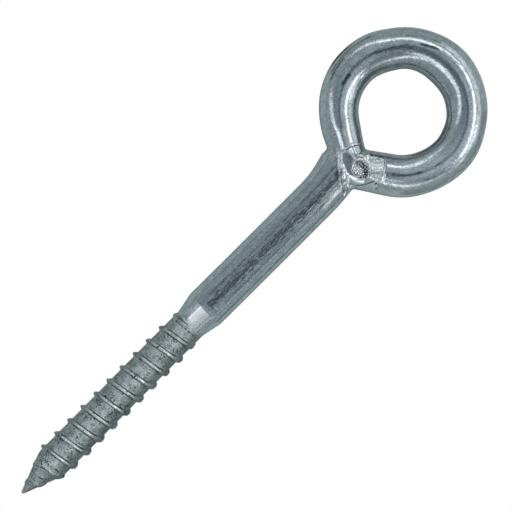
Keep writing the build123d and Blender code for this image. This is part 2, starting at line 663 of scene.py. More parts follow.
    def spoke(self, corner: tuple[float, float]) -> np.ndarray:
        """The seam from a corner of the outline up to the crown: a quarter of an ellipse, settled.

        Args:
            corner: The corner in the plane.

        Returns:
            QUARTER + 1 points, the corner first and the crown last.
        """
        s = np.linspace(0.0, math.pi / 2, QUARTER + 1)[:, None]
        flat = np.array(corner) + (np.array(self.crown) - np.array(corner)) * (1.0 - np.cos(s))
        line = self.settle(np.concatenate([flat, 5.0 * np.sin(s)], axis=1))
        line[0, 2] = 0.0
        return line

    def rim(self, outer: np.ndarray, inner: np.ndarray) -> np.ndarray:
        """The closed loop where one arm meets the other two: outer corner, crown, inner corner, below.

        Args:
            outer: The spoke from the arm's outer corner up to the crown.
            inner: The spoke from its inner corner up to the crown.

        Returns:
            AROUND points, with the lower half mirrored from the upper one.
        """
        flip = np.array([1.0, 1.0, -1.0])
        top = np.concatenate([outer[:-1], inner[:0:-1]])
        below = np.concatenate([inner[:-1], outer[:0:-1]]) * flip
        return np.concatenate([top, below])

    def arm(self, loop: np.ndarray, rim: np.ndarray) -> np.ndarray:
        """The skin of one arm: straight lines from its loop to its rim, settled onto the field.

        Args:
            loop: AROUND points where the arm starts.
            rim: AROUND points where it meets the other arms.

        Returns:
            Points, rows by AROUND by 3, whose first and last rows are the loop and the rim.
        """
        t = np.linspace(0.0, 1.0, self.rows)[:, None, None]
        grid = self.settle(loop[None] * (1.0 - t) + rim[None] * t)
        grid[0], grid[-1] = loop, rim
        return grid

    def die_face(self, p: np.ndarray) -> np.ndarray:
        """Height that the die holds the joint to: a roof, a slope, a level face and a shoulder.

        The level face rises gently along X. The lower limb's face is a roof, with one plane on
        either side of a line along the limb. The upper limb's face is one plane that falls from
        its edge towards the neck. A leaning line splits the two limbs, and the highest face holds,
        rounded over into its neighbours.

        Args:
            p: Points.

        Returns:
            The greatest height at each point.
        """
        x, y = p[..., 0], p[..., 1]
        level = self.flat_height + self.flat_slope * (x - self.die_x)
        inwards, outwards = DIAGONAL * (x + y) + self.roof_line, DIAGONAL * (x - y)
        roof = self.roof_height - self.inner_slope * soft_over(inwards, self.roof_blend)
        roof = roof - self.outer_slope * soft_over(-inwards, self.roof_blend)
        onto = ease(*self.roof_start, outwards)
        lower = level + (roof - level) * onto
        (edge_x, edge_y), (way_x, way_y) = self.upper_edge, self.upper_fall
        from_edge = way_x * (x - edge_x) + way_y * (y - edge_y)
        upper = self.upper_top - self.upper_slope * from_edge
        share = ease(*self.limb_split, y - self.split_lean * (x - self.split_x))
        limbs = lower * (1.0 - share) + upper * share
        face = -soft_min(-limbs, 2.0 * onto * (1.0 - share) - level, self.face_blend)
        return face - self.shoulder_fall(x, y)

    def shoulder_fall(self, x: np.ndarray, y: np.ndarray) -> np.ndarray:
        """How far the shoulder beside the neck has fallen.

        Its slope grows evenly from its start to its end, so the fall between them is
        slope * run^2 / (2 * length). Beyond its end the slope stays.

        Args:
            x: Places along X.
            y: Places along Y.

        Returns:
            The fall at each place, and 0 on the side of the limbs.
        """
        length = self.shoulder_end - self.shoulder_start
        out = np.hypot(x - self.shoulder[0], y - self.shoulder[1])
        run = np.clip(out - self.shoulder_start, 0.0, length)
        fall = run**2 / (2.0 * length) + np.maximum(out - self.shoulder_end, 0.0)
        turn = np.degrees(np.arctan2(y - self.die_y, x - self.die_x)) % 360.0
        sector = ease(*self.shoulder_begins, turn) * ease(*self.shoulder_ends, turn)
        return self.shoulder_slope * fall * sector

    def press(self, p: np.ndarray) -> tuple[np.ndarray, np.ndarray, np.ndarray]:
        """What the tools left on the joint: the die's facets, the burr strip, the oval imprint.

        Inside the die's outline the height is held to the die's face; the burr is a low bell across
        the die's straight side, added along the skin's normal.

        Args:
            p: Points on the skin.

        Returns:
            The points moved, and the masks of the facets and of the imprint.
        """
        normal = self.slope(p)
        normal = normal / np.maximum(np.linalg.norm(normal, axis=-1, keepdims=True), 1e-9)
        into, along = self.die_frame(p)
        x, y, z = p[..., 0] - self.die_x, p[..., 1] - self.die_y, p[..., 2]
        reach = np.hypot(x, y)
        faces = ease(2.6, 4.0, np.abs(z))
        strip = ease(*self.burr_begins, along) * ease(*self.burr_ends, along)
        strip = strip * ease(*self.burr_reach, reach)
        burr = bell(self.die_edge + self.burr_offset, self.burr_spread, into) * faces * strip
        out = p + normal * (self.burr_height * burr)[..., None]
        inside = ease(-0.12, 0.12, self.die_radius - reach)
        inside = inside * ease(-0.16, 0.16, self.die_edge - into)
        over = np.maximum(np.abs(out[..., 2]) - self.die_face(out), 0.0)
        out[..., 2] -= np.sign(z) * over * inside
        stamp, dent = self.stamp(x, y, z)
        out[..., 2] += dent
        return out, inside * ease(0.01, 0.08, over) * faces, stamp

    def stamp(self, x: np.ndarray, y: np.ndarray, z: np.ndarray) -> tuple[np.ndarray, np.ndarray]:
        """The oval imprint on the top face: a floor that falls towards the neck, and a raised rim.

        Args:
            x: Places along X from the die's centre.
            y: Places along Y from the die's centre.
            z: Heights.

        Returns:
            The imprint's mask, and the change of height.
        """
        c, s = math.cos(self.stamp_turn), math.sin(self.stamp_turn)
        long, wide = x * c + y * s, -x * s + y * c
        oval = np.hypot(long / (self.stamp_length / 2), wide / (self.stamp_width / 2))
        top = (z > self.stamp_above) * 1.0
        inside = ease(1.03, 0.85, oval) * top
        fall = np.maximum(self.stamp_fall[0] * x + self.stamp_fall[1] * y + 0.3, 0.0)
        dent = -inside * (self.stamp_depth + self.stamp_slope * fall)
        dent = dent + self.stamp_rim * bell(1.10, 0.07, oval) * top * ease(-1.2, 0.4, x)
        return inside, dent


@dataclass
class Skin:
    """The closed skin of the whole eye, gathered patch by patch and merged where patches meet."""

    name: str
    patches: list[Patch] = field(default_factory=list)

    def add(self, patch: Patch) -> None:
        """Adds one patch."""
        self.patches.append(patch)

    def build(self) -> bpy.types.Object:
        """Merges equal points, drops collapsed faces and makes the mesh with its attributes.

        Returns:
            The object, in metres, at the origin.
        """
        starts = np.cumsum([0] + [len(p.points) for p in self.patches[:-1]])
        points = np.concatenate([p.points for p in self.patches])
        quads = np.concatenate([p.quads + s for p, s in zip(self.patches, starts)])
        rounded = np.round(points, 5)
        _, first, ids = np.unique(rounded, axis=0, return_index=True, return_inverse=True)
        quads = ids.reshape(-1)[quads]
        same = quads == np.roll(quads, -1, axis=1)
        count = same.sum(axis=1)
        whole = quads[count == 0]
        worn, where = quads[count == 1], same[count == 1].argmax(axis=1)
        keep = (where[:, None] + np.arange(1, 4)[None, :]) % 4
        thirds = np.take_along_axis(worn, keep, axis=1)
        mesh = bpy.data.meshes.new(self.name)
        mesh.from_pydata((points[first] * MM).tolist(), [], whole.tolist() + thirds.tolist())
        for label in ("rod_space", "zones", "wear"):
            values = np.concatenate([getattr(p, label) for p in self.patches])[first]
            layer = mesh.attributes.new(label, "FLOAT_VECTOR", "POINT")
            layer.data.foreach_set("vector", values.astype(np.float32).ravel())
        self.face_outwards(mesh)
        mesh.polygons.foreach_set("use_smooth", np.ones(len(mesh.polygons), dtype=bool))
        mesh.validate()
        mesh.update()
        piece = bpy.data.objects.new(self.name, mesh)
        bpy.context.scene.collection.objects.link(piece)
        return piece

    @staticmethod
    def face_outwards(mesh: bpy.types.Mesh) -> None:
        """Turns every face of the closed mesh outwards.

        Args:
            mesh: The mesh to turn.
        """
        work = bmesh.new()
        work.from_mesh(mesh)
        bmesh.ops.recalc_face_normals(work, faces=work.faces)
        open_edges = sum(1 for e in work.edges if not e.is_manifold)
        volume = work.calc_volume(signed=True)
        if volume < 0:
            bmesh.ops.reverse_faces(work, faces=work.faces)
        LOG.info("skin: %d open edges, %.1f mm3", open_edges, abs(volume) / MM**3)
        work.to_mesh(mesh)
        work.free()


@dataclass(frozen=True)
class Grid:
    """Joins a plain grid of rows, closed round the rod, into quads."""

    rows: int

    def quads(self) -> np.ndarray:
        """The quads of the grid: point (row, column) is row * AROUND + column.

        Returns:
            Rows of four point numbers.
        """
        r = np.arange(self.rows - 1)[:, None]
        c = np.arange(AROUND)[None, :]
        here, across = r * AROUND + c, r * AROUND + (c + 1) % AROUND
        return np.stack([here, here + AROUND, across + AROUND, across], axis=-1).reshape(-1, 4)


@dataclass
class Graph:
    """Wires a node tree. A value here is a socket, a number or a tuple of three numbers."""

    tree: bpy.types.NodeTree

    def node(self, kind: str) -> bpy.types.Node:
        """Adds a node of the given kind."""
        return self.tree.nodes.new(kind)

    def link(self, source: Socket, target: Socket) -> None:
        """Links two sockets."""
        self.tree.links.new(source, target)

    def feed(self, target: Socket, value: object) -> None:
        """Links a socket, or sets a plain value, on an input.

        Args:
            target: The input.
            value: The socket or the plain value.
        """
        if isinstance(value, Socket):
            self.link(value, target)
        elif isinstance(value, tuple) and target.type == "RGBA":
            target.default_value = (*value, 1.0)
        else:
            target.default_value = value

    def math(self, operation: str, a: object, b: object = 0.0) -> Socket:
        """Adds a math node.

        Args:
            operation: What it does, such as "ADD".
            a: Its first value.
            b: Its second value.

        Returns:
            The result.
        """
        node = self.node("ShaderNodeMath")
        node.operation = operation
        self.feed(node.inputs[0], a)
        self.feed(node.inputs[1], b)
        return node.outputs[0]

    def plus(self, a: object, b: object) -> Socket:
        """Adds two values."""
        return self.math("ADD", a, b)

    def minus(self, a: object, b: object) -> Socket:
        """Takes the second value from the first."""
        return self.math("SUBTRACT", a, b)

    def times(self, *factors: object) -> Socket:
        """Multiplies two or more values."""
        return reduce(lambda a, b: self.math("MULTIPLY", a, b), factors)

    def size(self, value: object) -> Socket:
        """The value without its sign."""
        return self.math("ABSOLUTE", value)

    def lerp(self, share: object, low: object, high: object) -> Socket:
        """Mixes two numbers: low + share * (high - low).

        Args:
            share: How much of the second, from 0 to 1.
            low: The first.
            high: The second.

        Returns:
            The mixed number.
        """
        node = self.node("ShaderNodeMix")
        node.data_type = "FLOAT"
        for place, value in zip((0, 2, 3), (share, low, high)):
            self.feed(node.inputs[place], value)
        return node.outputs[0]

    def blend(self, share: object, low: object, high: object) -> Socket:
        """Mixes two colours: low + share * (high - low), channel by channel.

        Args:
            share: How much of the second, from 0 to 1.
            low: The first.
            high: The second.

        Returns:
            The mixed colour.
        """
        node = self.node("ShaderNodeMix")
        node.data_type = "RGBA"
        for place, value in zip((0, 6, 7), (share, low, high)):
            self.feed(node.inputs[place], value)
        return node.outputs[2]

    def step(self, value: object, start: float, end: float) -> Socket:
        """Maps a value to 0 at start and 1 at end, smoothly: 3t^2 - 2t^3.

        Args:
            value: The value.
            start: Where the step begins.
            end: Where it ends, which may be below start.

        Returns:
            The step, from 0 to 1.
        """
        node = self.node("ShaderNodeMapRange")
        node.interpolation_type = "SMOOTHSTEP"
        self.feed(node.inputs["Value"], value)
        node.inputs["From Min"].default_value = start
        node.inputs["From Max"].default_value = end
        return node.outputs[0]

    def attribute(self, name: str) -> Socket:
        """Reads one of the piece's own attributes.

        Args:
            name: The attribute's name.

        Returns:
            The attribute as a vector.
        """
        node = self.node("ShaderNodeAttribute")
        node.attribute_name = name
        return node.outputs["Vector"]

    def split(self, vector: Socket) -> tuple[Socket, ...]:
        """Splits a vector into its three channels.

        Args:
            vector: The vector.

        Returns:
            The channels.
        """
        node = self.node("ShaderNodeSeparateXYZ")
        self.link(vector, node.inputs[0])
        return tuple(node.outputs)

    def noise(self, vector: object, scale: object, detail: float, rough: float) -> Socket:
        """Adds a noise texture.

        Args:
            vector: Where it is read.
            scale: How many of its waves go into one unit.
            detail: How many finer layers it has.
            rough: How strong each finer layer is.

        Returns:
            The noise, from 0 to 1 and mostly near 0.5.
        """
        node = self.node("ShaderNodeTexNoise")
        self.feed(node.inputs["Vector"], vector)
        self.feed(node.inputs["Scale"], scale)
        node.inputs["Detail"].default_value = detail
        node.inputs["Roughness"].default_value = rough
        return node.outputs["Fac"]

    def vector(self, operation: str, a: object, b: object) -> bpy.types.Node:
        """Adds a vector math node.

        Args:
            operation: What it does, such as "DISTANCE".
            a: Its first vector.
            b: Its second vector.

        Returns:
            The node, with the outputs Vector and Value.
        """
        node = self.node("ShaderNodeVectorMath")
        node.operation = operation
        self.feed(node.inputs[0], a)
        self.feed(node.inputs[1], b)
        return node

    def stretch(self, vector: object, scale: tuple[float, float, float]) -> Socket:
        """Scales a vector channel by channel."""
        return self.vector("MULTIPLY", vector, scale).outputs["Vector"]

    def dot(self, a: object, b: object) -> Socket:
        """The dot product of two vectors."""
        return self.vector("DOT_PRODUCT", a, b).outputs["Value"]

    def use(self, group: bpy.types.NodeTree, **inputs: object) -> Socket:
        """Places a shared group and gives it its values.

        Args:
            group: The group.
            inputs: Its values by the names of its inputs.

        Returns:
            The group's value.
        """
        node = self.node("ShaderNodeGroup")
        node.node_tree = group
        for name, value in inputs.items():
            self.feed(node.inputs[name], value)
        return node.outputs[0]


def new_group(
    name: str, vectors: tuple[str, ...], numbers: tuple[str, ...] = ()
) -> tuple[Graph, dict[str, Socket], Socket]:
    """Starts a shared effect group with one value output.

    Args:
        name: The group's name.
        vectors: The names of its vector inputs.
        numbers: The names of its number inputs.

    Returns:
        The group's graph, its inputs by name, and the socket that takes its value.
    """
    tree = bpy.data.node_groups.new(name, "ShaderNodeTree")
    for labels, kind in ((vectors, "NodeSocketVector"), (numbers, "NodeSocketFloat")):
        for label in labels:
            tree.interface.new_socket(label, in_out="INPUT", socket_type=kind)
    tree.interface.new_socket("Value", in_out="OUTPUT", socket_type="NodeSocketFloat")
    g = Graph(tree)
    head, tail = g.node("NodeGroupInput"), g.node("NodeGroupOutput")
    return g, {label: head.outputs[label] for label in (*vectors, *numbers)}, tail.inputs[0]


def mottle_group() -> bpy.types.NodeTree:
    """Cloudy crystals of the plate, at a given scale: noise with its middle range spread out.

    Returns:
        The group.
    """
    g, put, value = new_group("mottle", ("Vector",), ("Scale",))
    g.link(g.step(g.noise(put["Vector"], put["Scale"], 3.0, 0.6), 0.36, 0.66), value)
    return g.tree


def mark_group() -> bpy.types.NodeTree:
    """One dark band along the rod, used for bending marks and for painted shade alike: full on its
    line, fading to a ragged edge and to its two ends.

    Its depth inside the mark is 1 - |across| / half width, to which the grain adds up to
    2.5 * ragged or takes it away. Only the side that faces the mark's own direction is marked.

    Returns:
        The group.
    """
    g, put, value = new_group(
        "rod_band_and_shade",
        ("Vector", "Tangent", "Radial"),
        ("Grain", "Middle", "Reach", "Half Width", "Ragged", "Lean"),
    )
    along = g.minus(g.split(put["Vector"])[0], put["Middle"])
    across = g.plus(g.dot(put["Vector"], put["Tangent"]), g.times(along, put["Lean"]))
    inside = g.minus(1.0, g.math("DIVIDE", g.size(across), put["Half Width"]))
    ends = g.minus(put["Reach"], g.size(along))
    grain = g.times(g.minus(put["Grain"], 0.5), g.times(put["Ragged"], 5.0))
    mask = g.times(g.step(g.plus(inside, grain), -0.1, 0.7), g.step(inside, -0.9, 0.1))
    facing = g.step(g.dot(put["Vector"], put["Radial"]), 2.0, 4.0)
    g.link(g.times(mask, g.times(facing, g.step(ends, 0.0, 1.1))), value)
    return g.tree


def flat_mark_group() -> bpy.types.NodeTree:
    """One line on the upper side, used for marks, painted highlights and painted shade: full on its
    line, thinned to dashes where the grain is low.

    The line is bowed by bow * (1 - along^2), where along is -1 and 1 at its two ends.

    Returns:
        The group.
    """
    g, put, value = new_group(
        "flat_line_and_light",
        ("Vector", "Middle", "Along", "Across"),
        ("Grain", "Reach", "Half Width", "Dashes", "Bow"),
    )
    place = g.vector("SUBTRACT", put["Vector"], put["Middle"]).outputs["Vector"]
    along = g.math("DIVIDE", g.dot(place, put["Along"]), put["Reach"])
    curve = g.times(g.minus(1.0, g.times(along, along)), put["Bow"])
    across = g.minus(g.dot(place, put["Across"]), curve)
    inside = g.math("DIVIDE", g.size(across), put["Half Width"])
    grain = g.times(g.minus(put["Grain"], 0.52), g.times(put["Dashes"], 9.0))
    mask = g.times(g.step(inside, 1.25, 0.35), g.step(g.plus(1.0, grain), 0.0, 1.0))
    ends = g.times(g.minus(1.0, g.size(along)), put["Reach"])
    upper = g.step(g.split(put["Vector"])[2], 0.5, 1.5)
    g.link(g.times(mask, g.times(g.step(ends, -0.1, 0.25), upper)), value)
    return g.tree


def knurl_group() -> bpy.types.NodeTree:
    """Irregular round dots, about 0.7 mm apart: 1 on each dot, 0 in the gaps.

    Returns:
        The group.
    """
    g, put, value = new_group("knurl", ("Vector",))
    cells = g.node("ShaderNodeTexVoronoi")
    cells.voronoi_dimensions = "2D"
    cells.inputs["Scale"].default_value = 1.45
    cells.inputs["Randomness"].default_value = 0.5
    g.link(put["Vector"], cells.inputs["Vector"])
    g.link(g.step(cells.outputs["Distance"], 0.44, 0.22), value)
    return g.tree


def streak_group() -> bpy.types.NodeTree:
    """Lines left by drawing the rod: noise stretched along it, half of it broad and half thin.

    Returns:
        The group.
    """
    g, put, value = new_group("drawn_streaks", ("Vector",))
    broad = g.noise(g.stretch(put["Vector"], (0.06, 0.8, 0.8)), 1.0, 2.0, 0.55)
    thin = g.noise(g.stretch(put["Vector"], (0.22, 3.0, 3.0)), 1.0, 1.5, 0.5)
    g.link(g.step(g.plus(g.times(broad, 0.5), g.times(thin, 0.5)), 0.34, 0.66), value)
    return g.tree


def pit_group() -> bpy.types.NodeTree:
    """Small dark pits that gather in patches: fine noise, raised where a broad noise is high.

    Returns:
        The group.
    """
    g, put, value = new_group("pits", ("Vector",))
    spots = g.noise(put["Vector"], 2500.0, 1.5, 0.5)
    where = g.noise(put["Vector"], 420.0, 2.0, 0.5)
    g.link(g.step(g.plus(spots, g.times(g.minus(where, 0.5), 0.55)), 0.635, 0.675), value)
    return g.tree


@dataclass(frozen=True)
class Surface:
    """Where a point of the piece is and what was done to it, as sockets of the material's graph.

    The place is in metres, and place_mm is the same place in mm. The rod is the place on the piece
    as if it were a straight rod: its run along it, its place across it and its height, in mm. The
    others are masks from 0 to 1.
    """

    g: Graph
    place: Socket
    place_mm: Socket
    rod: Socket
    run: Socket
    across: Socket
    up: Socket
    thread: Socket
    shank: Socket
    weld: Socket
    ridge: Socket
    flat: Socket
    stamp: Socket

    @classmethod
    def read(cls, g: Graph) -> "Surface":
        """Reads the piece's own coordinates and attributes.

        Args:
            g: The material's graph.

        Returns:
            The surface.
        """
        place = g.node("ShaderNodeTexCoord").outputs["Object"]
        rod, zones, wear = (g.attribute(name) for name in ("rod_space", "zones", "wear"))
        in_mm = g.stretch(place, (1 / MM, 1 / MM, 1 / MM))
        return cls(g, place, in_mm, rod, *g.split(rod), *g.split(zones), *g.split(wear))


@dataclass(frozen=True)
class RodBandAndShade:
    """A dark band along the rod: a few are marks left by drawing or bending, most are painted shade and
    painted dark reflections.

    The run is mm along the rod, as in the piece's rod_space, and the turn is degrees round it:
    0 towards +Y or away from the eye's centre, 90 up.
    """

    start: float
    end: float
    turn: float
    half_width: float
    dark: float
    ragged: float = 0.4
    lean: float = 0.0

    def inputs(self) -> dict[str, object]:
        """The values that the shared mark group needs.

        Returns:
            The values by the names of the group's inputs.
        """
        c, s = math.cos(math.radians(self.turn)), math.sin(math.radians(self.turn))
        return {
            "Tangent": (0.0, -s, c),
            "Radial": (0.0, c, s),
            "Middle": (self.start + self.end) / 2,
            "Reach": (self.end - self.start) / 2,
            "Half Width": self.half_width,
            "Ragged": self.ragged,
            "Lean": self.lean,
        }


def ring_band_and_shade(start: float, end: float, *look: float) -> RodBandAndShade:
    """A dark band round the eye, for a mark and for painted shade alike. Its run is RING_RUN +
    (RING_END - angle) * RING_RADIUS.

    Args:
        start: The angle round the eye where it starts, in degrees.
        end: The angle where it ends, which is smaller.
        look: The mark's other values, from its turn on.

    Returns:
        The mark.
    """
    runs = (RING_RUN + math.radians(RING_END - angle) * RING_RADIUS for angle in (start, end))
    return RodBandAndShade(*runs, *look)


@dataclass(frozen=True)
class FlatLineAndLight:
    """A short line on the upper side, from one place to another in mm in the plane of the ring.

    A mark can be dark, bright or raised, broken into dashes, and bowed to one side by bow mm. Its
    brightness is a painted highlight; its darkness is mostly painted shade, in a crease, a groove, at a
    step or over a face; its lift is real relief.
    """

    start: tuple[float, float]
    end: tuple[float, float]
    half_width: float
    dark: float = 0.0
    bright: float = 0.0
    lift: float = 0.0
    dashes: float = 0.0
    bow: float = 0.0

    def inputs(self) -> dict[str, object]:
        """The values that the shared mark group needs.

        Returns:
            The values by the names of the group's inputs.
        """
        (x0, y0), (x1, y1) = self.start, self.end
        length = math.hypot(x1 - x0, y1 - y0)
        c, s = (x1 - x0) / length, (y1 - y0) / length
        return {
            "Middle": ((x0 + x1) / 2, (y0 + y1) / 2, 0.0),
            "Along": (c, s, 0.0),
            "Across": (-s, c, 0.0),
            "Reach": length / 2,
            "Half Width": self.half_width,
            "Dashes": self.dashes,
            "Bow": self.bow,
        }


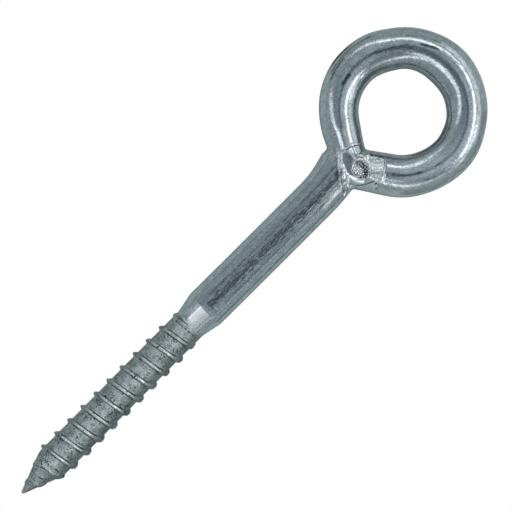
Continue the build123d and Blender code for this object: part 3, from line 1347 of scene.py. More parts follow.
@dataclass(frozen=True)
class ZincFinish:
    """Bright zinc on steel: cool mottled plate, drawn streaks, bending marks, a matt pitted thread, and
    painted highlights and painted shade.

    A pair of numbers is where a mask begins and where it is full. Heights are in mm, strengths
    and shares go from 0 to 1.
    """

    name: str = "bright_zinc"
    bright: tuple[float, float, float] = (0.745, 0.795, 0.825)
    dull: tuple[float, float, float] = (0.345, 0.41, 0.45)
    streaked: tuple[float, float, float] = (0.33, 0.395, 0.44)
    thread_bright: tuple[float, float, float] = (0.72, 0.77, 0.77)
    thread_dull: tuple[float, float, float] = (0.33, 0.385, 0.385)
    # The crest's brighter tone: a painted highlight on the rubbed crest.
    crest_highlight_tone: tuple[float, float, float] = (0.84, 0.87, 0.88)
    # Tone of the pits, of the dark marks and of all the painted shade.
    pit_and_shade_tone: tuple[float, float, float] = (0.03, 0.04, 0.045)
    # Tone of polished faces and dots, and of the painted highlights.
    polished_and_highlight_tone: tuple[float, float, float] = (0.90, 0.92, 0.93)
    # Painted shade on the -Y side of the taper's pressed facet.
    pressed_painted_shade: tuple[float, float, float] = (0.40, 0.425, 0.43)
    cloud_scale: float = 620.0
    speckle_scale: float = 2900.0
    plate_speckle: float = 0.65
    thread_speckle: float = 0.55
    # A rougher stretch of the ring before the lower limb, whose paler tone is a painted sheen.
    frost_and_sheen_begins: tuple[float, float] = (82.0, 92.0)
    frost_and_sheen_ends: tuple[float, float] = (112.0, 100.0)
    frost_and_sheen_strength: float = 0.20
    streak_strength: float = 0.72
    streak_fade: tuple[float, float] = (4.8, 3.0)
    # Painted shade at the ridge's foot, towards the thread's sides and over the point.
    foot_shade_strength: float = 0.88
    painted_shade_front: float = 0.52
    painted_shade_back: float = 0.28
    pits_end: tuple[float, float] = (-83.0, -85.0)
    pit_depth: float = 0.12
    pressed_strength: float = 0.75
    stamp_gap: float = 0.60
    stamp_far_dark: float = 0.33
    roughness: float = 0.15
    shank_roughness: float = 0.22
    frost_roughness: float = 0.20
    thread_roughness: float = 0.46
    cloud_roughness: float = 0.06
    line_roughness: float = 0.16
    # Strength of the painted shade low on both sides.
    painted_low_shade_strength: float = 0.55
    dot_height: float = 0.20
    weld_height: float = 0.026
    dent_height: float = 0.032
    streak_height: float = 0.10
    # Dark bands along the rod: a few are marks of drawing and bending, most are painted shade and
    # painted dark reflections, such as the broad bands on the crowns and those low on the inner wall.
    rod_bands_and_shades: tuple[RodBandAndShade, ...] = (
        # Along the shank.
        RodBandAndShade(-73.0, -22.0, 92.0, 1.15, 0.72, 1.4),
        RodBandAndShade(-70.0, -30.0, 80.0, 0.80, 0.22, 1.0),
        RodBandAndShade(-71.0, -22.0, 70.5, 0.30, 0.50, 1.1),
        RodBandAndShade(-70.0, -24.0, 116.5, 0.34, 0.45, 0.9),
        RodBandAndShade(-75.0, -24.0, 142.4, 0.30, 0.62, 0.3),
        RodBandAndShade(-74.0, -22.0, 45.5, 0.20, 0.28, 0.3),
        RodBandAndShade(-73.0, -24.0, 108.0, 1.10, 0.18, 0.9),
        # Round the eye, on its crown.
        ring_band_and_shade(114.0, 98.5, 88.5, 0.72, 0.80, 0.55, -0.12),
        ring_band_and_shade(74.0, 34.0, 92.0, 0.80, 0.55, 1.3),
        ring_band_and_shade(99.0, 86.0, 85.0, 0.13, 0.50, 0.3),
        ring_band_and_shade(33.0, 13.0, 76.5, 0.50, 0.84, 0.5, 0.10),
        ring_band_and_shade(14.5, -7.0, 71.5, 0.13, 0.62, 0.6),
        ring_band_and_shade(-116.0, -150.0, 91.0, 0.40, 0.68, 0.9),
        ring_band_and_shade(-97.5, -106.5, 93.0, 0.26, 0.55, 0.5, 0.15),
        ring_band_and_shade(-107.0, -121.0, 67.0, 0.24, 0.60, 1.1),
        ring_band_and_shade(-99.5, -108.5, 67.5, 0.17, 0.50, 0.8),
        ring_band_and_shade(104.0, 8.0, 96.0, 1.70, 0.22, 1.1),
        ring_band_and_shade(6.0, -60.0, 98.0, 1.30, 0.12, 0.8),
        # Round the eye, on its outer wall.
        ring_band_and_shade(114.0, 91.0, 47.0, 0.34, 0.80, 0.3),
        ring_band_and_shade(46.0, 33.0, 58.0, 0.18, 0.60, 0.4),
        ring_band_and_shade(26.0, 13.0, 54.0, 0.15, 0.70, 0.4),
        ring_band_and_shade(9.0, -9.0, 32.0, 0.15, 0.50, 0.3),
        ring_band_and_shade(-42.0, -136.0, 36.0, 1.50, 0.32, 0.6),
        ring_band_and_shade(-100.0, -138.0, 32.0, 1.00, 0.42, 0.8),
        ring_band_and_shade(96.0, 2.0, 36.0, 1.40, 0.20, 0.6),
        ring_band_and_shade(-112.0, -137.0, 42.0, 0.16, 0.50, 0.2),
        ring_band_and_shade(108.0, 66.0, 38.0, 0.55, 0.60, 0.3),
        ring_band_and_shade(60.0, 12.0, 30.0, 0.20, 0.50, 0.3),
        # Round the eye, on its inner wall.
        ring_band_and_shade(102.0, 68.0, 137.0, 0.40, 0.42, 0.5),
        ring_band_and_shade(98.0, 62.0, 134.0, 1.00, 0.22, 0.6),
        ring_band_and_shade(34.0, -34.0, 134.0, 1.00, 0.14, 0.6),
        ring_band_and_shade(64.0, -14.0, 172.0, 0.50, 0.70, 0.3),
        ring_band_and_shade(140.0, 112.0, 162.0, 0.30, 0.30, 0.3),
        ring_band_and_shade(72.0, -62.0, 158.0, 0.40, 0.45, 0.4),
        ring_band_and_shade(-58.0, -126.0, 153.0, 0.55, 0.62, 0.2),
        ring_band_and_shade(-91.0, -116.0, 120.5, 0.13, 0.45, 0.3),
    )
    # Short lines on the upper side: the bright ones are painted highlights, most dark ones painted
    # shade, and their lifts real relief.
    lines: tuple[FlatLineAndLight, ...] = (
        # Burr rows across the neck: raised, with painted glints on them and painted shade between them.
        FlatLineAndLight((-18.1, 5.1), (-24.6, -2.2), 0.20, bright=0.42, lift=0.10, dashes=1.7, bow=0.05),
        FlatLineAndLight((-18.8, 6.1), (-25.9, -2.0), 0.20, bright=0.36, lift=0.10, dashes=1.7, bow=0.15),
        FlatLineAndLight((-18.4, 5.6), (-25.1, -2.0), 0.16, dark=0.50, lift=-0.05, dashes=1.0, bow=0.05),
        FlatLineAndLight((-19.5, 6.2), (-26.4, -1.9), 0.16, dark=0.40, dashes=1.0, bow=0.15),
        # Beside the stamp: a painted highlight on the shoulder, and painted shade.
        FlatLineAndLight((-21.8, 0.9), (-22.1, -1.9), 0.34, bright=1.0, lift=0.12, dashes=0.15, bow=-0.05),
        FlatLineAndLight((-20.3, -1.0), (-20.3, -4.6), 0.22, dark=0.95, lift=-0.06, dashes=0.2, bow=-0.45),
        FlatLineAndLight((-18.1, 2.6), (-20.9, -0.6), 0.85, dark=0.34, dashes=1.6),
        FlatLineAndLight((-15.42, -0.68), (-17.27, -5.23), 0.34, dark=0.60, dashes=0.4, bow=0.26),
        # The neck's highlight.
        FlatLineAndLight((-25.0, -2.5), (-33.0, -3.3), 0.60, bright=0.95, dashes=0.2),
        # The stamp's rim with a painted highlight, and painted shade over the facet beside it.
        FlatLineAndLight((-18.6, -0.6), (-20.5, -4.0), 0.42, bright=0.80, lift=0.04, dashes=1.2, bow=-0.55),
        FlatLineAndLight((-15.3, -2.5), (-12.8, -5.4), 1.30, dark=0.42, dashes=0.3),
        # The die's edge on the upper limb, and on the lower limb: raised and sunk lines with painted
        # highlights and painted shade.
        FlatLineAndLight((-18.0, 3.75), (-14.0, 2.0), 0.20, bright=0.85, lift=0.08, bow=0.42),
        FlatLineAndLight((-18.1, 3.35), (-14.1, 1.6), 0.12, dark=0.85, lift=-0.08, bow=0.42),
        FlatLineAndLight((-17.6, 4.4), (-14.6, 3.0), 0.12, dark=0.50, lift=-0.04, dashes=0.7, bow=0.2),
        FlatLineAndLight((-12.3, -5.0), (-16.2, -7.9), 0.12, dark=0.75, lift=-0.08, dashes=0.6, bow=0.3),
        FlatLineAndLight((-11.8, -5.4), (-15.7, -8.3), 0.13, dark=0.60, lift=-0.06, dashes=1.0, bow=0.3),
        FlatLineAndLight((-12.0, -5.2), (-15.9, -8.1), 0.12, bright=0.70, lift=0.05, dashes=0.9, bow=0.3),
        FlatLineAndLight((-15.0, -8.2), (-17.6, -9.2), 0.30, bright=0.45, lift=0.06, dashes=1.0, bow=0.1),
        # Creases and ledges where the ball meets the neck and the limbs: painted shade in the creases,
        # painted highlights on the ledges.
        FlatLineAndLight((-22.6, -4.9), (-18.4, -7.5), 0.20, dark=0.90, lift=-0.08, dashes=0.2, bow=-0.35),
        FlatLineAndLight((-19.0, -8.1), (-18.3, -8.5), 0.20, dark=0.85, lift=-0.08),
        FlatLineAndLight((-17.55, 3.1), (-17.9, -0.1), 0.17, bright=0.75, lift=0.05, dashes=0.4),
        FlatLineAndLight((-15.0, -7.5), (-13.3, -6.1), 0.17, bright=0.8, dashes=0.3, bow=-0.10),
        FlatLineAndLight((-17.5, -5.4), (-15.3, -7.6), 0.18, bright=0.7, dashes=0.5),
        # Flaws of the point: dents with painted shade in them, and ribs with painted highlights.
        FlatLineAndLight((-132.8, 1.5), (-132.8, -1.3), 0.24, bright=0.70, lift=0.06, dashes=0.3),
        FlatLineAndLight((-133.7, 1.4), (-133.2, -1.3), 0.20, dark=0.95, lift=-0.06, dashes=0.7),
        FlatLineAndLight((-134.6, 2.6), (-134.0, 1.7), 0.16, dark=0.70, lift=-0.05),
        FlatLineAndLight((-131.3, -1.4), (-131.6, -2.9), 0.24, dark=1.0, lift=-0.08, dashes=0.8),
        FlatLineAndLight((-136.3, 0.0), (-135.8, -1.3), 0.22, dark=1.0, lift=-0.08, dashes=0.8),
        FlatLineAndLight((-136.1, -1.7), (-135.9, -2.6), 0.18, dark=0.60, lift=-0.06),
        FlatLineAndLight((-139.5, 1.3), (-138.9, -0.5), 0.15, bright=0.60, lift=0.08, dashes=0.3, bow=0.1),
        FlatLineAndLight((-139.1, 1.3), (-138.5, -0.5), 0.14, dark=0.65, lift=-0.06, dashes=0.4, bow=0.1),
        # The taper's pinch mark with painted shade in it, and scratches near it, most of them with
        # painted glints.
        FlatLineAndLight((-81.4, 3.5), (-81.0, -3.4), 0.24, dark=0.95, lift=-0.08, dashes=0.9, bow=0.15),
        FlatLineAndLight((-79.5, 2.9), (-79.9, -3.4), 0.14, bright=0.55, lift=0.05, dashes=0.4),
        FlatLineAndLight((-79.1, -1.95), (-73.9, -2.05), 0.16, dark=0.38),
        FlatLineAndLight((-71.6, -0.6), (-71.6, -2.3), 0.12, bright=0.60, lift=0.05),
        FlatLineAndLight((-70.6, 2.5), (-70.7, 1.0), 0.10, bright=0.40, dashes=0.6),
        FlatLineAndLight((-67.0, 2.9), (-67.2, 1.2), 0.10, bright=0.40, dashes=0.6),
        FlatLineAndLight((-73.2, 1.6), (-73.3, -2.4), 0.10, bright=0.30, dashes=1.0),
    )

    def build(self) -> bpy.types.Material:
        """Builds the material from the shared effect groups.

        Returns:
            The finished material.
        """
        material = bpy.data.materials.new(self.name)
        material.use_nodes = True
        tree = material.node_tree
        tree.nodes.clear()
        g = Graph(tree)
        out = g.node("ShaderNodeOutputMaterial")
        shader = g.node("ShaderNodeBsdfPrincipled")
        shader.inputs["Metallic"].default_value = 1.0
        g.link(shader.outputs[0], out.inputs[0])
        on = Surface.read(g)
        mottle = mottle_group()
        cloud = g.use(mottle, Vector=on.place, Scale=self.cloud_scale)
        speckle = g.use(mottle, Vector=on.place, Scale=self.speckle_scale)
        frost_and_sheen = g.times(g.step(on.run, *self.frost_and_sheen_begins), g.step(on.run, *self.frost_and_sheen_ends))
        pits = g.use(pit_group(), Vector=on.place)
        rod_bands_and_shades = self.rod_bands_and_painted_shade(on)
        dark, bright, lift = self.flat_lines_and_painted_light(on)
        drawn = self.drawn_streaks(on)
        dots = g.use(knurl_group(), Vector=on.place_mm)
        knurl = g.times(on.stamp, dots)
        crest, foot_shade = self.ridge_masks(on)
        grain = self.grain(g, cloud, speckle, self.plate_speckle)
        # Paler tone on the rough stretch of the ring: a painted sheen.
        grain = g.minus(grain, g.times(frost_and_sheen, self.frost_and_sheen_strength))
        tone = g.blend(grain, self.bright, self.dull)
        tone = g.blend(g.times(drawn, self.streak_strength), tone, self.streaked)
        grain = self.grain(g, cloud, speckle, self.thread_speckle)
        # The thread, with painted highlights on its crests and painted shade at its feet and sides.
        tone = g.blend(on.thread, tone, self.thread_tone(on, grain, crest, foot_shade))
        pitted = g.times(pits, on.thread, g.step(on.run, *self.pits_end))
        tone = g.blend(pitted, tone, self.pit_and_shade_tone)
        # Pressed faces: polished, with painted shade on the -Y side of the taper's facet.
        tone = g.blend(g.times(on.flat, self.pressed_strength), tone, self.pressed_tone(on))
        tone = g.blend(self.stamp_gaps(on, dots), tone, self.pit_and_shade_tone)
        tone = g.blend(knurl, tone, self.polished_and_highlight_tone)
        # Painted shade low on both sides of the piece.
        tone = g.blend(self.painted_low_shade(on), tone, self.pit_and_shade_tone)
        # Bending marks, and painted shade and painted dark reflections, along the rod.
        tone = g.blend(rod_bands_and_shades, tone, self.pit_and_shade_tone)
        # Painted shade and painted highlights of the short lines.
        tone = g.blend(dark, tone, self.pit_and_shade_tone)
        tone = g.blend(bright, tone, self.polished_and_highlight_tone)
        g.link(tone, shader.inputs["Base Color"])
        rough = g.lerp(on.shank, self.roughness, self.shank_roughness)
        rough = g.lerp(frost_and_sheen, rough, self.frost_roughness)
        rough = g.lerp(on.thread, rough, g.lerp(crest, self.thread_roughness, self.shank_roughness))
        rough = g.lerp(bright, rough, self.line_roughness)
        g.link(g.plus(rough, g.times(cloud, self.cloud_roughness)), shader.inputs["Roughness"])
        bump = g.node("ShaderNodeBump")
        bump.inputs["Strength"].default_value = 1.0
        bump.inputs["Distance"].default_value = MM
        height = g.plus(self.relief(on, drawn, pitted, lift), g.times(knurl, self.dot_height))
        g.link(height, bump.inputs["Height"])
        g.link(bump.outputs[0], shader.inputs["Normal"])
        return material

    @staticmethod
    def grain(g: Graph, cloud: Socket, speckle: Socket, share: float) -> Socket:
        """Mottled grain: cloud * (1 - share) + speckle * share.

        Args:
            g: The material's graph.
            cloud: The broad mottle.
            speckle: The fine mottle.
            share: The fine one's share.

        Returns:
            The grain.
        """
        return g.plus(g.times(cloud, 1.0 - share), g.times(speckle, share))

    def drawn_streaks(self, on: Surface) -> Socket:
        """Streaks along the upper and lower sides of the shank, but not where it is pressed flat.

        Args:
            on: The surface.

        Returns:
            How strong the streaks are.
        """
        g = on.g
        middle = g.step(g.size(on.across), *self.streak_fade)
        drawn = g.times(on.shank, middle, g.use(streak_group(), Vector=on.rod))
        return g.times(drawn, g.minus(1.0, on.flat))

    def thread_tone(self, on: Surface, grain: Socket, crest: Socket, foot_shade: Socket) -> Socket:
        """The thread's tone: matt plate, rubbed crests brightened by a painted highlight, painted shade
        at the ridge's feet, and painted shade towards both sides and over the point.

        Args:
            on: The surface.
            grain: The plate's grain.
            crest: The mask of the ridge's crest.
            foot_shade: The mask of its foot, where shade is painted.

        Returns:
            The tone.
        """
        g = on.g
        tone = g.blend(g.step(grain, 0.2, 0.85), self.thread_bright, self.thread_dull)
        # The rubbed crest, brightened by a painted highlight.
        tone = g.blend(crest, tone, self.crest_highlight_tone)
        # Painted shade at the ridge's foot.
        tone = g.blend(g.times(foot_shade, self.foot_shade_strength), tone, self.pit_and_shade_tone)
        # Painted shade towards both sides, more on the -Y side, and over the point.
        front = g.times(g.step(on.across, -0.6, -4.4), self.painted_shade_front)
        back = g.times(g.step(on.across, 1.4, 3.8), self.painted_shade_back)
        point = g.times(g.step(on.run, -134.0, -138.0), self.painted_shade_back)
        return g.blend(g.math("MAXIMUM", g.plus(front, back), point), tone, self.pit_and_shade_tone)

    def pressed_tone(self, on: Surface) -> Socket:
        """The pressed faces: polished, with painted shade on the -Y side of the taper's pinch mark.

        Args:
            on: The surface.

        Returns:
            The tone.
        """
        low = on.g.times(on.shank, on.g.step(on.across, 1.4, -2.6))
        return on.g.blend(low, self.polished_and_highlight_tone, self.pressed_painted_shade)

    def stamp_gaps(self, on: Surface, dots: Socket) -> Socket:
        """The gaps between the imprint's dots: dark, and darker away from the neck.

        Args:
            on: The surface.
            dots: The mask of the dots.

        Returns:
            How dark they are.
        """
        g = on.g
        x, y, _ = g.split(on.place)
        # Darker away from the neck.
        far_side = g.times(g.step(g.minus(x, y), -0.0160, -0.0148), self.stamp_far_dark)
        return g.times(g.times(on.stamp, g.minus(1.0, dots)), g.plus(self.stamp_gap, far_side))

    def painted_low_shade(self, on: Surface) -> Socket:
        """Painted shade low on both sides of the piece, for the floor's dark contact shadow that the
        metal would mirror there; narrower and stronger at the point.

        Args:
            on: The surface.

        Returns:
            How dark it is.
        """
        g = on.g
        point = g.step(on.run, -131.0, -136.0)
        side = g.step(g.math("DIVIDE", g.size(on.up), g.lerp(point, 1.0, 0.45)), 2.0, 0.8)
        faint = g.times(on.thread, g.lerp(g.step(on.run, -133.0, -126.0), -0.40, 0.30))
        return g.times(side, g.minus(self.painted_low_shade_strength, faint))

    def relief(self, on: Surface, drawn: Socket, pitted: Socket, lift: Socket) -> Socket:
        """Fine relief: dents, weaker on the shank and deeper on the thread, streaks, pits and lines.

        Args:
            on: The surface.
            drawn: How strong the streaks are.
            pitted: The mask of the pits.
            lift: The height of the lines.

        Returns:
            The height.
        """
        g = on.g
        height = g.times(g.noise(on.place, 1750.0, 2.5, 0.55), self.dent_height)
        height = g.times(height, g.plus(g.lerp(on.shank, 1.0, 0.5), g.times(on.thread, 1.8)))
        height = g.minus(height, g.times(drawn, self.streak_height))
        height = g.minus(height, g.times(pitted, self.pit_depth))
        coarse = g.times(g.noise(on.place, 1050.0, 1.0, 0.5), g.times(on.weld, self.weld_height))
        return g.plus(height, g.plus(lift, coarse))

    def flat_lines_and_painted_light(self, on: Surface) -> tuple[Socket, Socket, Socket]:
        """Draws the short lines on the upper side: their painted shade, their painted highlights and
        their relief.

        Args:
            on: The surface.

        Returns:
            How dark (painted shade) and how bright (painted highlight) the lines are, from 0 to 1, and
            their height in mm.
        """
        g = on.g
        grain = g.noise(on.place_mm, 2.4, 1.5, 0.6)
        group = flat_mark_group()
        dark = bright = lift = 0.0
        for line in self.lines:
            mask = g.use(group, Vector=on.place_mm, Grain=grain, **line.inputs())
            if line.dark:
                dark = g.math("MAXIMUM", dark, g.times(mask, line.dark))
            if line.bright:
                bright = g.math("MAXIMUM", bright, g.times(mask, line.bright))
            if line.lift:
                lift = g.plus(lift, g.times(mask, line.lift))
        return dark, bright, lift

    def ridge_masks(self, on: Surface) -> tuple[Socket, Socket]:
        """Finds the rubbed crest of the thread's ridge, which gets a painted highlight, and its foot on
        both its sides, which gets painted shade.

        Both are on the upper and lower sides only.

        Args:
            on: The surface.

        Returns:
            The crest's and the foot's masks.
        """
        g = on.g
        facing = g.times(g.step(g.size(on.up), 3.4, 5.0), on.thread)
        crest = g.times(g.step(on.ridge, 0.70, 0.95), facing)
        foot_shade = g.times(g.step(on.ridge, 0.02, 0.22), g.step(on.ridge, 0.72, 0.40))
        return crest, g.times(foot_shade, facing)

    def rod_bands_and_painted_shade(self, on: Surface) -> Socket:
        """Places one mark group for each dark band, bending mark and painted shade alike, and keeps the
        darkest.

        Args:
            on: The surface.

        Returns:
            How dark the marks and the painted shade are, from 0 to 1.
        """
        g = on.g
        grain = g.noise(g.stretch(on.rod, (0.65, 3.2, 3.2)), 1.0, 3.0, 0.7)
        group = mark_group()
        total = 0.0
        for mark in self.rod_bands_and_shades:
            mask = g.use(group, Vector=on.rod, Grain=grain, **mark.inputs())
            total = g.math("MAXIMUM", total, g.times(mask, mark.dark))
        return total


@dataclass
class ScrewEye:
    """The screw eye as one piece: its forms, its skin and its finish."""

    thread: ThreadForm = field(default_factory=ThreadForm)
    shank: ShankForm = field(default_factory=ShankForm)
    ring: RingForm = field(default_factory=RingForm)
    finish: ZincFinish = field(default_factory=ZincFinish)
    nose_rows: int = 9
    thread_fade: tuple[float, float] = (62.0, 64.4)
    neck_fade: tuple[float, float] = (-22.0, -27.0)
    weld_middle: tuple[float, float] = (-18.7, -2.8)
    weld_fade: tuple[float, float] = (8.6, 6.4)

    def build(self) -> bpy.types.Object:
        """Builds the skin, dresses it and sets it on the frame.

        Returns:
            The finished piece.
        """
        skin = Skin("screw_eye_rod")
        skin.add(self.thread_patch())
        skin.add(self.nose_patch())
        skin.add(self.shank_patch())
        skin.add(self.ring_patch())
        for patch in self.weld_patches():
            skin.add(patch)
        piece = skin.build()
        piece.data.materials.append(self.finish.build())
        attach(piece, "root")
        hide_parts("screw_eye")
        return piece

    def rod_points(self, u: np.ndarray, theta: np.ndarray) -> tuple[np.ndarray, np.ndarray, np.ndarray]:
        """The threaded rod: x = tip + u, and radius = core or taper + ridge + a little unevenness.

        Args:
            u: Distances from the tip.
            theta: Angles round the axis.

        Returns:
            Points, the ridge's shape from 0 to 1, and the taper's facets.
        """
        x = self.shank.tip + u
        core = self.shank.radius_at(x, self.thread.core(u))
        rise, shape = self.thread.ridge(u, theta)
        worn = wander(0.2, (0.012, 2.0, u + np.cos(theta)), (0.010, 5.0, np.sin(theta) * 2 + u))
        end = self.thread.end_loop
        r = core + rise + worn * ease(1.2, 3.0, u) * ease(end, end - 1.0, u)
        y = self.shank.middle(x) + r * np.cos(theta)
        points, flat = self.shank.facet(np.stack([x, y, r * np.sin(theta)], axis=-1), r)
        return points, shape, flat

    def thread_patch(self) -> Patch:
        """The thread on its helical lattice.

        Returns:
            The patch.
        """
        u, theta, quads = self.thread.lattice()
        points, shape, flat = self.rod_points(u, theta)
        crest = shape * self.thread.run_out(u) * ease(9.5, 15.0, u)
        return self.patch(points, quads, u + self.shank.tip, crest=crest, flat=flat)

    def nose_patch(self) -> Patch:
        """The blunt nose: rows from the thread's first loop down to one point at the tip.

        Returns:
            The patch.
        """
        u = self.thread.start_loop * np.linspace(1.0, 0.0, self.nose_rows)[:, None] ** 1.6
        u, theta = np.broadcast_arrays(u, THETA)
        points = self.rod_points(u, theta)[0]
        return self.patch(points, Grid(self.nose_rows).quads(), u + self.shank.tip)

    def shank_patch(self) -> Patch:
        """The taper and the plain shank, up to the joint's first loop.

        Returns:
            The patch.
        """
        start = self.shank.tip + self.thread.end_loop
        plain = self.shank.tip + self.shank.taper_end + 0.4
        taper = np.arange(start, plain, self.shank.taper_step)
        count = math.ceil((self.shank.last_loop - plain) / self.shank.row_step) + 1
        x = np.concatenate([taper, np.linspace(plain, self.shank.last_loop, count)])
        radius = self.shank.radius_at(x, self.thread.core(x - self.shank.tip))
        points = self.shank.loop(x)
        scale = (radius / self.shank.radius)[:, None]
        middle = self.shank.middle(x)[:, None]
        points[..., 1] = middle + (points[..., 1] - middle) * scale
        points[..., 2] = points[..., 2] * scale
        points, flat = self.shank.facet(points, radius[:, None])
        points[0] = self.rod_points(np.full(AROUND, self.thread.end_loop), THETA)[0]
        points[-1] = self.shank.loop(np.array([self.shank.last_loop]))[0]
        return self.patch(points, Grid(len(x)).quads(), points[..., 0], flat=flat)

    def ring_patch(self) -> Patch:
        """The ring, from one limb round to the other.

        Returns:
            The patch.
        """
        end = self.ring.limb_start
        rows = math.ceil(2 * end * self.ring.middle_radius / self.ring.row_step) + 1
        phi = np.linspace(end, -end, rows)
        points = self.ring.loop(phi)
        run = np.broadcast_to(((end - phi) * self.ring.middle_radius)[:, None], points.shape[:2])
        return self.patch(points, Grid(rows).quads(), run + RING_RUN)

    def weld_patches(self) -> list[Patch]:
        """The three arms of the joint, each from its tube to the seams that they share.

        Returns:
            The patches of the neck, the upper limb and the lower limb.
        """
        weld = WeldForm(self.shank, self.ring)
        corners = (weld.corner_upper, weld.corner_inner, weld.corner_lower)
        upper, inner, lower = (weld.spoke(corner) for corner in corners)
        end = self.ring.limb_start
        loops = (
            (self.shank.loop(np.array([self.shank.last_loop]))[0], weld.rim(upper, lower)),
            (self.ring.loop(np.array([end]))[0], weld.rim(upper, inner)),
            (self.ring.loop(np.array([-end]))[0], weld.rim(lower, inner)),
        )
        made = []
        for loop, rim in loops:
            grid = weld.arm(loop, rim)
            shaped, flat, stamp = weld.press(grid)
            quads = Grid(weld.rows).quads()
            made.append(self.patch(shaped, quads, grid[..., 0], flat=flat, stamp=stamp))
        return made

    def patch(
        self,
        points: np.ndarray,
        quads: np.ndarray,
        run: np.ndarray,
        crest: np.ndarray | float = 0.0,
        flat: np.ndarray | float = 0.0,
        stamp: np.ndarray | float = 0.0,
    ) -> Patch:
        """Gathers a grid with its rod coordinates, zones and wear.

        Args:
            points: The grid's points.
            quads: Its quads.
            run: How far along the rod each point is.
            crest: The thread ridge's shape, from 0 to 1.
            flat: Where a die has pressed the skin smooth.
            stamp: Where the oval imprint is.

        Returns:
            The patch.
        """
        shape = points.shape[:2]
        angle = np.broadcast_to(THETA, shape)
        round_it = (ROD_SPACE_RADIUS * np.cos(angle), ROD_SPACE_RADIUS * np.sin(angle))
        rod = np.stack([np.broadcast_to(run, shape), *round_it], axis=-1)
        u = points[..., 0] - self.shank.tip
        thread = 1.0 - ease(*self.thread_fade, u)
        reach = np.hypot(points[..., 0] - self.weld_middle[0], points[..., 1] - self.weld_middle[1])
        weld = ease(*self.weld_fade, reach)
        shank = (1.0 - thread) * ease(*self.neck_fade, points[..., 0])
        zones = np.stack([thread, shank, weld], axis=-1)
        wear = np.stack([np.broadcast_to(mask, shape) for mask in (crest, flat, stamp)], axis=-1)
        return Patch(*(rows.reshape(-1, 3) for rows in (points, rod, zones, wear)), quads)


@dataclass(frozen=True)
class SoftBox:
    """One soft light overhead, facing straight down, placed in metres from above the part."""

    name: str
    x: float
    y: float
    length: float
    width: float
    turn: float
    brightness: float
    height: float = 1.0

    def build(self) -> bpy.types.Object:
        """Makes the light: its power is brightness * pi * area, so brightness is what metal mirrors.

        Returns:
            The light.
        """
        light = bpy.data.lights.new(self.name, "AREA")
        light.shape = "RECTANGLE"
        light.size, light.size_y = self.length, self.width
        light.energy = self.brightness * math.pi * self.length * self.width
        lamp = bpy.data.objects.new(self.name, light)
        lamp.location = (self.x, self.y, self.height)
        lamp.rotation_euler = (0.0, 0.0, math.radians(self.turn))
        bpy.context.scene.collection.objects.link(lamp)
        return lamp


@dataclass(frozen=True)
class WallLight(SoftBox):
    """A soft light that stands upright to one side and faces the part."""

    def build(self) -> bpy.types.Object:
        """Makes the light and stands it upright, facing the middle.

        Returns:
            The light.
        """
        lamp = super().build()
        out = Vector((self.x, self.y, 0.0)).normalized()
        side = Vector((-out.y, out.x, 0.0))
        turn = Matrix((side, Vector((0.0, 0.0, 1.0)), out)).transposed()
        lamp.matrix_world = Matrix.Translation((self.x, self.y, self.height)) @ turn.to_4x4()
        return lamp


@dataclass(frozen=True)
class Glow:
    """A soft patch of the tent: where it is, how far it spreads from its core, and its tone.

    All angles are in degrees, and the polar one is measured from straight overhead.
    """

    azimuth: float
    polar: float
    spread: float
    core: float
    tone: tuple[float, float, float]

    def direction(self) -> tuple[float, float, float]:
        """Unit vector towards the patch's middle.

        Returns:
            Its three channels.
        """
        azimuth, polar = math.radians(self.azimuth), math.radians(self.polar)
        flat = math.sin(polar)
        return flat * math.cos(azimuth), flat * math.sin(azimuth), math.cos(polar)

    def share(self, g: Graph, way: Socket) -> Socket:
        """How much of the patch is seen: 0 at its spread and 1 at its core, by the angle's cosine.

        Args:
            g: The sky's graph.
            way: The direction of view.

        Returns:
            The share.
        """
        spread, core = math.radians(self.spread), math.radians(self.core)
        return g.step(g.dot(way, self.direction()), math.cos(spread), math.cos(core))


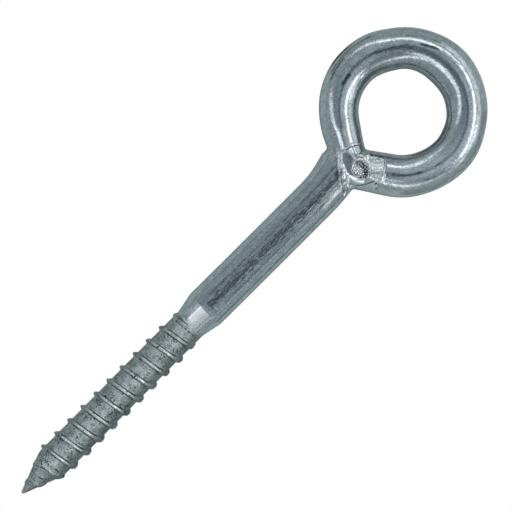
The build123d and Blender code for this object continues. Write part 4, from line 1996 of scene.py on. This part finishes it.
@dataclass(frozen=True)
class Studio:
    """Pale floor, soft lights and a long lens looking straight down."""

    centre: tuple[float, float] = (-0.0544, 0.00054)
    field_width: float = 0.13556
    roll: float = math.radians(-45.03)
    lens: float = 200.0
    floor_z: float = -0.00592
    floor_tone: tuple[float, float, float] = (0.55, 0.61, 0.60)
    floor_lift: float = 0.10
    # Two painted shadows of the ring on the floor, seen only in the metal: x, y and radius in metres.
    painted_floor_shadows: tuple[tuple[float, float, float], ...] = (
        (0.001, -0.0045, 0.0045),
        (-0.001, 0.0275, 0.0085),
    )
    painted_shadow_tone: tuple[float, float, float] = (0.06, 0.08, 0.085)
    painted_shadow_core: float = 0.35
    low_tone: tuple[float, float, float] = (0.33, 0.37, 0.375)
    high_tone: tuple[float, float, float] = (0.195, 0.235, 0.265)
    mouth_tone: tuple[float, float, float] = (0.075, 0.105, 0.13)

    def build(self) -> None:
        """Sets up the camera, the floor, the sky and the lights."""
        self.camera()
        self.floor()
        self.sky()
        for box in self.boxes():
            box.build()
        scene = bpy.context.scene
        scene.view_settings.view_transform = "Standard"
        scene.view_settings.look = "None"

    def camera(self) -> None:
        """Places the camera over the part."""
        data = bpy.data.cameras.new("camera")
        data.lens, data.sensor_width = self.lens, 36.0
        data.clip_start, data.clip_end = 0.01, 10.0
        camera = bpy.data.objects.new("camera", data)
        height = self.field_width / 2 / (data.sensor_width / 2 / data.lens)
        camera.location = (*self.centre, height)
        camera.rotation_euler = (0.0, 0.0, self.roll)
        bpy.context.scene.collection.objects.link(camera)
        bpy.context.scene.camera = camera

    def floor(self) -> None:
        """Lays the floor: white to the eye, and a mid grey-green in the metal's reflections, with two
        painted shadows of the ring that only the metal mirrors.
        """
        side = np.array([-1.0, 1.0]) * 3.0
        x, y = np.meshgrid(side, side)
        corners = np.stack([x.ravel(), y.ravel(), np.full(4, self.floor_z)], axis=1)
        mesh = bpy.data.meshes.new("floor")
        mesh.from_pydata(corners.tolist(), [], [(0, 1, 3, 2)])
        floor = bpy.data.objects.new("floor", mesh)
        bpy.context.scene.collection.objects.link(floor)
        material = bpy.data.materials.new("pale_floor")
        material.use_nodes = True
        tree = material.node_tree
        tree.nodes.clear()
        g = Graph(tree)
        out = g.node("ShaderNodeOutputMaterial")
        seen = g.node("ShaderNodeEmission")
        seen.inputs["Color"].default_value = (1.0, 1.0, 1.0, 1.0)
        seen.inputs["Strength"].default_value = 1.0
        grey = g.node("ShaderNodeBsdfDiffuse")
        spot = g.node("ShaderNodeTexCoord").outputs["Object"]
        shade = None
        for x, y, radius in self.painted_floor_shadows:
            away = g.vector("DISTANCE", spot, (x, y, self.floor_z)).outputs["Value"]
            mask = g.step(away, radius, radius * self.painted_shadow_core)
            shade = mask if shade is None else g.math("MAXIMUM", shade, mask)
        g.link(g.blend(shade, self.floor_tone, self.painted_shadow_tone), grey.inputs["Color"])
        lift = g.node("ShaderNodeEmission")
        lift.inputs["Color"].default_value = (*self.floor_tone, 1.0)
        lift.inputs["Strength"].default_value = self.floor_lift
        both = g.node("ShaderNodeAddShader")
        g.link(grey.outputs[0], both.inputs[0])
        g.link(lift.outputs[0], both.inputs[1])
        mix = g.node("ShaderNodeMixShader")
        path = g.node("ShaderNodeLightPath")
        g.link(path.outputs["Is Camera Ray"], mix.inputs[0])
        g.link(both.outputs[0], mix.inputs[1])
        g.link(seen.outputs[0], mix.inputs[2])
        g.link(mix.outputs[0], out.inputs[0])
        mesh.materials.append(material)

    def sky(self) -> None:
        """A dim tent overhead: darkest round the camera, mid grey towards the horizon."""
        world = bpy.data.worlds.new("tent")
        bpy.context.scene.world = world
        world.use_nodes = True
        tree = world.node_tree
        tree.nodes.clear()
        g = Graph(tree)
        out = g.node("ShaderNodeOutputWorld")
        back = g.node("ShaderNodeBackground")
        way = g.node("ShaderNodeTexCoord").outputs["Generated"]
        up = g.split(way)[2]
        tone = g.blend(g.step(up, 0.45, 0.95), self.low_tone, self.high_tone)
        for glow in self.glows():
            tone = g.blend(glow.share(g, way), tone, glow.tone)
        g.link(tone, back.inputs["Color"])
        g.link(back.outputs[0], out.inputs[0])

    def glows(self) -> tuple[Glow, ...]:
        """The soft patches of the tent: two paler ones beside the middle, and the dark mouth over it.

        Returns:
            The patches, in the order in which they cover each other.
        """
        return (
            Glow(-58.0, 19.0, 25.0, 5.73, (0.52, 0.565, 0.59)),
            Glow(56.0, 26.0, 29.0, 5.73, (0.39, 0.445, 0.47)),
            Glow(0.0, 0.0, 6.5, 2.0, self.mouth_tone),
            Glow(-148.0, 6.0, 8.0, 3.0, self.mouth_tone),
            Glow(20.0, 6.0, 8.0, 3.0, self.mouth_tone),
        )

    def boxes(self) -> tuple[SoftBox, ...]:
        """The lights: a bent row beyond the eye, a broad bar over the shank's end, and a side wall.

        Returns:
            The lights.
        """
        return (
            SoftBox("row_far", 0.66, 2.02, 1.35, 0.58, -69.0, 0.95),
            SoftBox("row_upper", 0.87, 0.86, 0.80, 0.36, -66.0, 1.6),
            SoftBox("row_middle", 0.99, 0.14, 0.86, 0.38, -92.0, 1.5),
            SoftBox("row_lower", 0.80, -0.50, 0.66, 0.36, -138.0, 2.2),
            SoftBox("row_near", 0.37, -0.92, 0.54, 0.38, -142.0, 2.0),
            SoftBox("row_end", 0.92, -1.70, 1.30, 0.70, -60.0, 0.80),
            SoftBox("row_tail", 0.31, -2.27, 0.90, 0.28, -81.0, 1.6),
            SoftBox("bar", -0.60, 0.00, 0.46, 0.44, 98.0, 1.2),
            SoftBox("bar_low", -0.46, -0.30, 0.24, 0.22, 98.0, 1.0),
            SoftBox("bar_upper", -0.66, 0.52, 0.62, 0.24, 102.0, 1.2),
            SoftBox("bar_far", -0.88, 1.30, 1.00, 0.40, 104.0, 0.62),
            SoftBox("bar_bend", -0.85, -0.42, 0.50, 0.24, 54.0, 1.2),
            SoftBox("bar_end", -0.93, -1.12, 0.85, 0.36, 100.0, 1.4),
            SoftBox("bar_tail", -0.58, -1.82, 0.75, 0.45, -42.0, 0.50),
            WallLight("wall", 1.42, -0.62, 2.6, 0.78, 0.0, 0.50, height=0.62),
        )


def main() -> None:
    """Builds the studio and the screw eye, and reports the piece."""
    logging.basicConfig(level=logging.INFO, format="%(name)s: %(message)s")
    Studio().build()
    piece = ScrewEye().build()
    triangles = sum(len(p.vertices) - 2 for p in piece.data.polygons)
    LOG.info("%s: %d points, %d triangles", piece.name, len(piece.data.vertices), triangles)


if __name__ == "__main__":
    main()
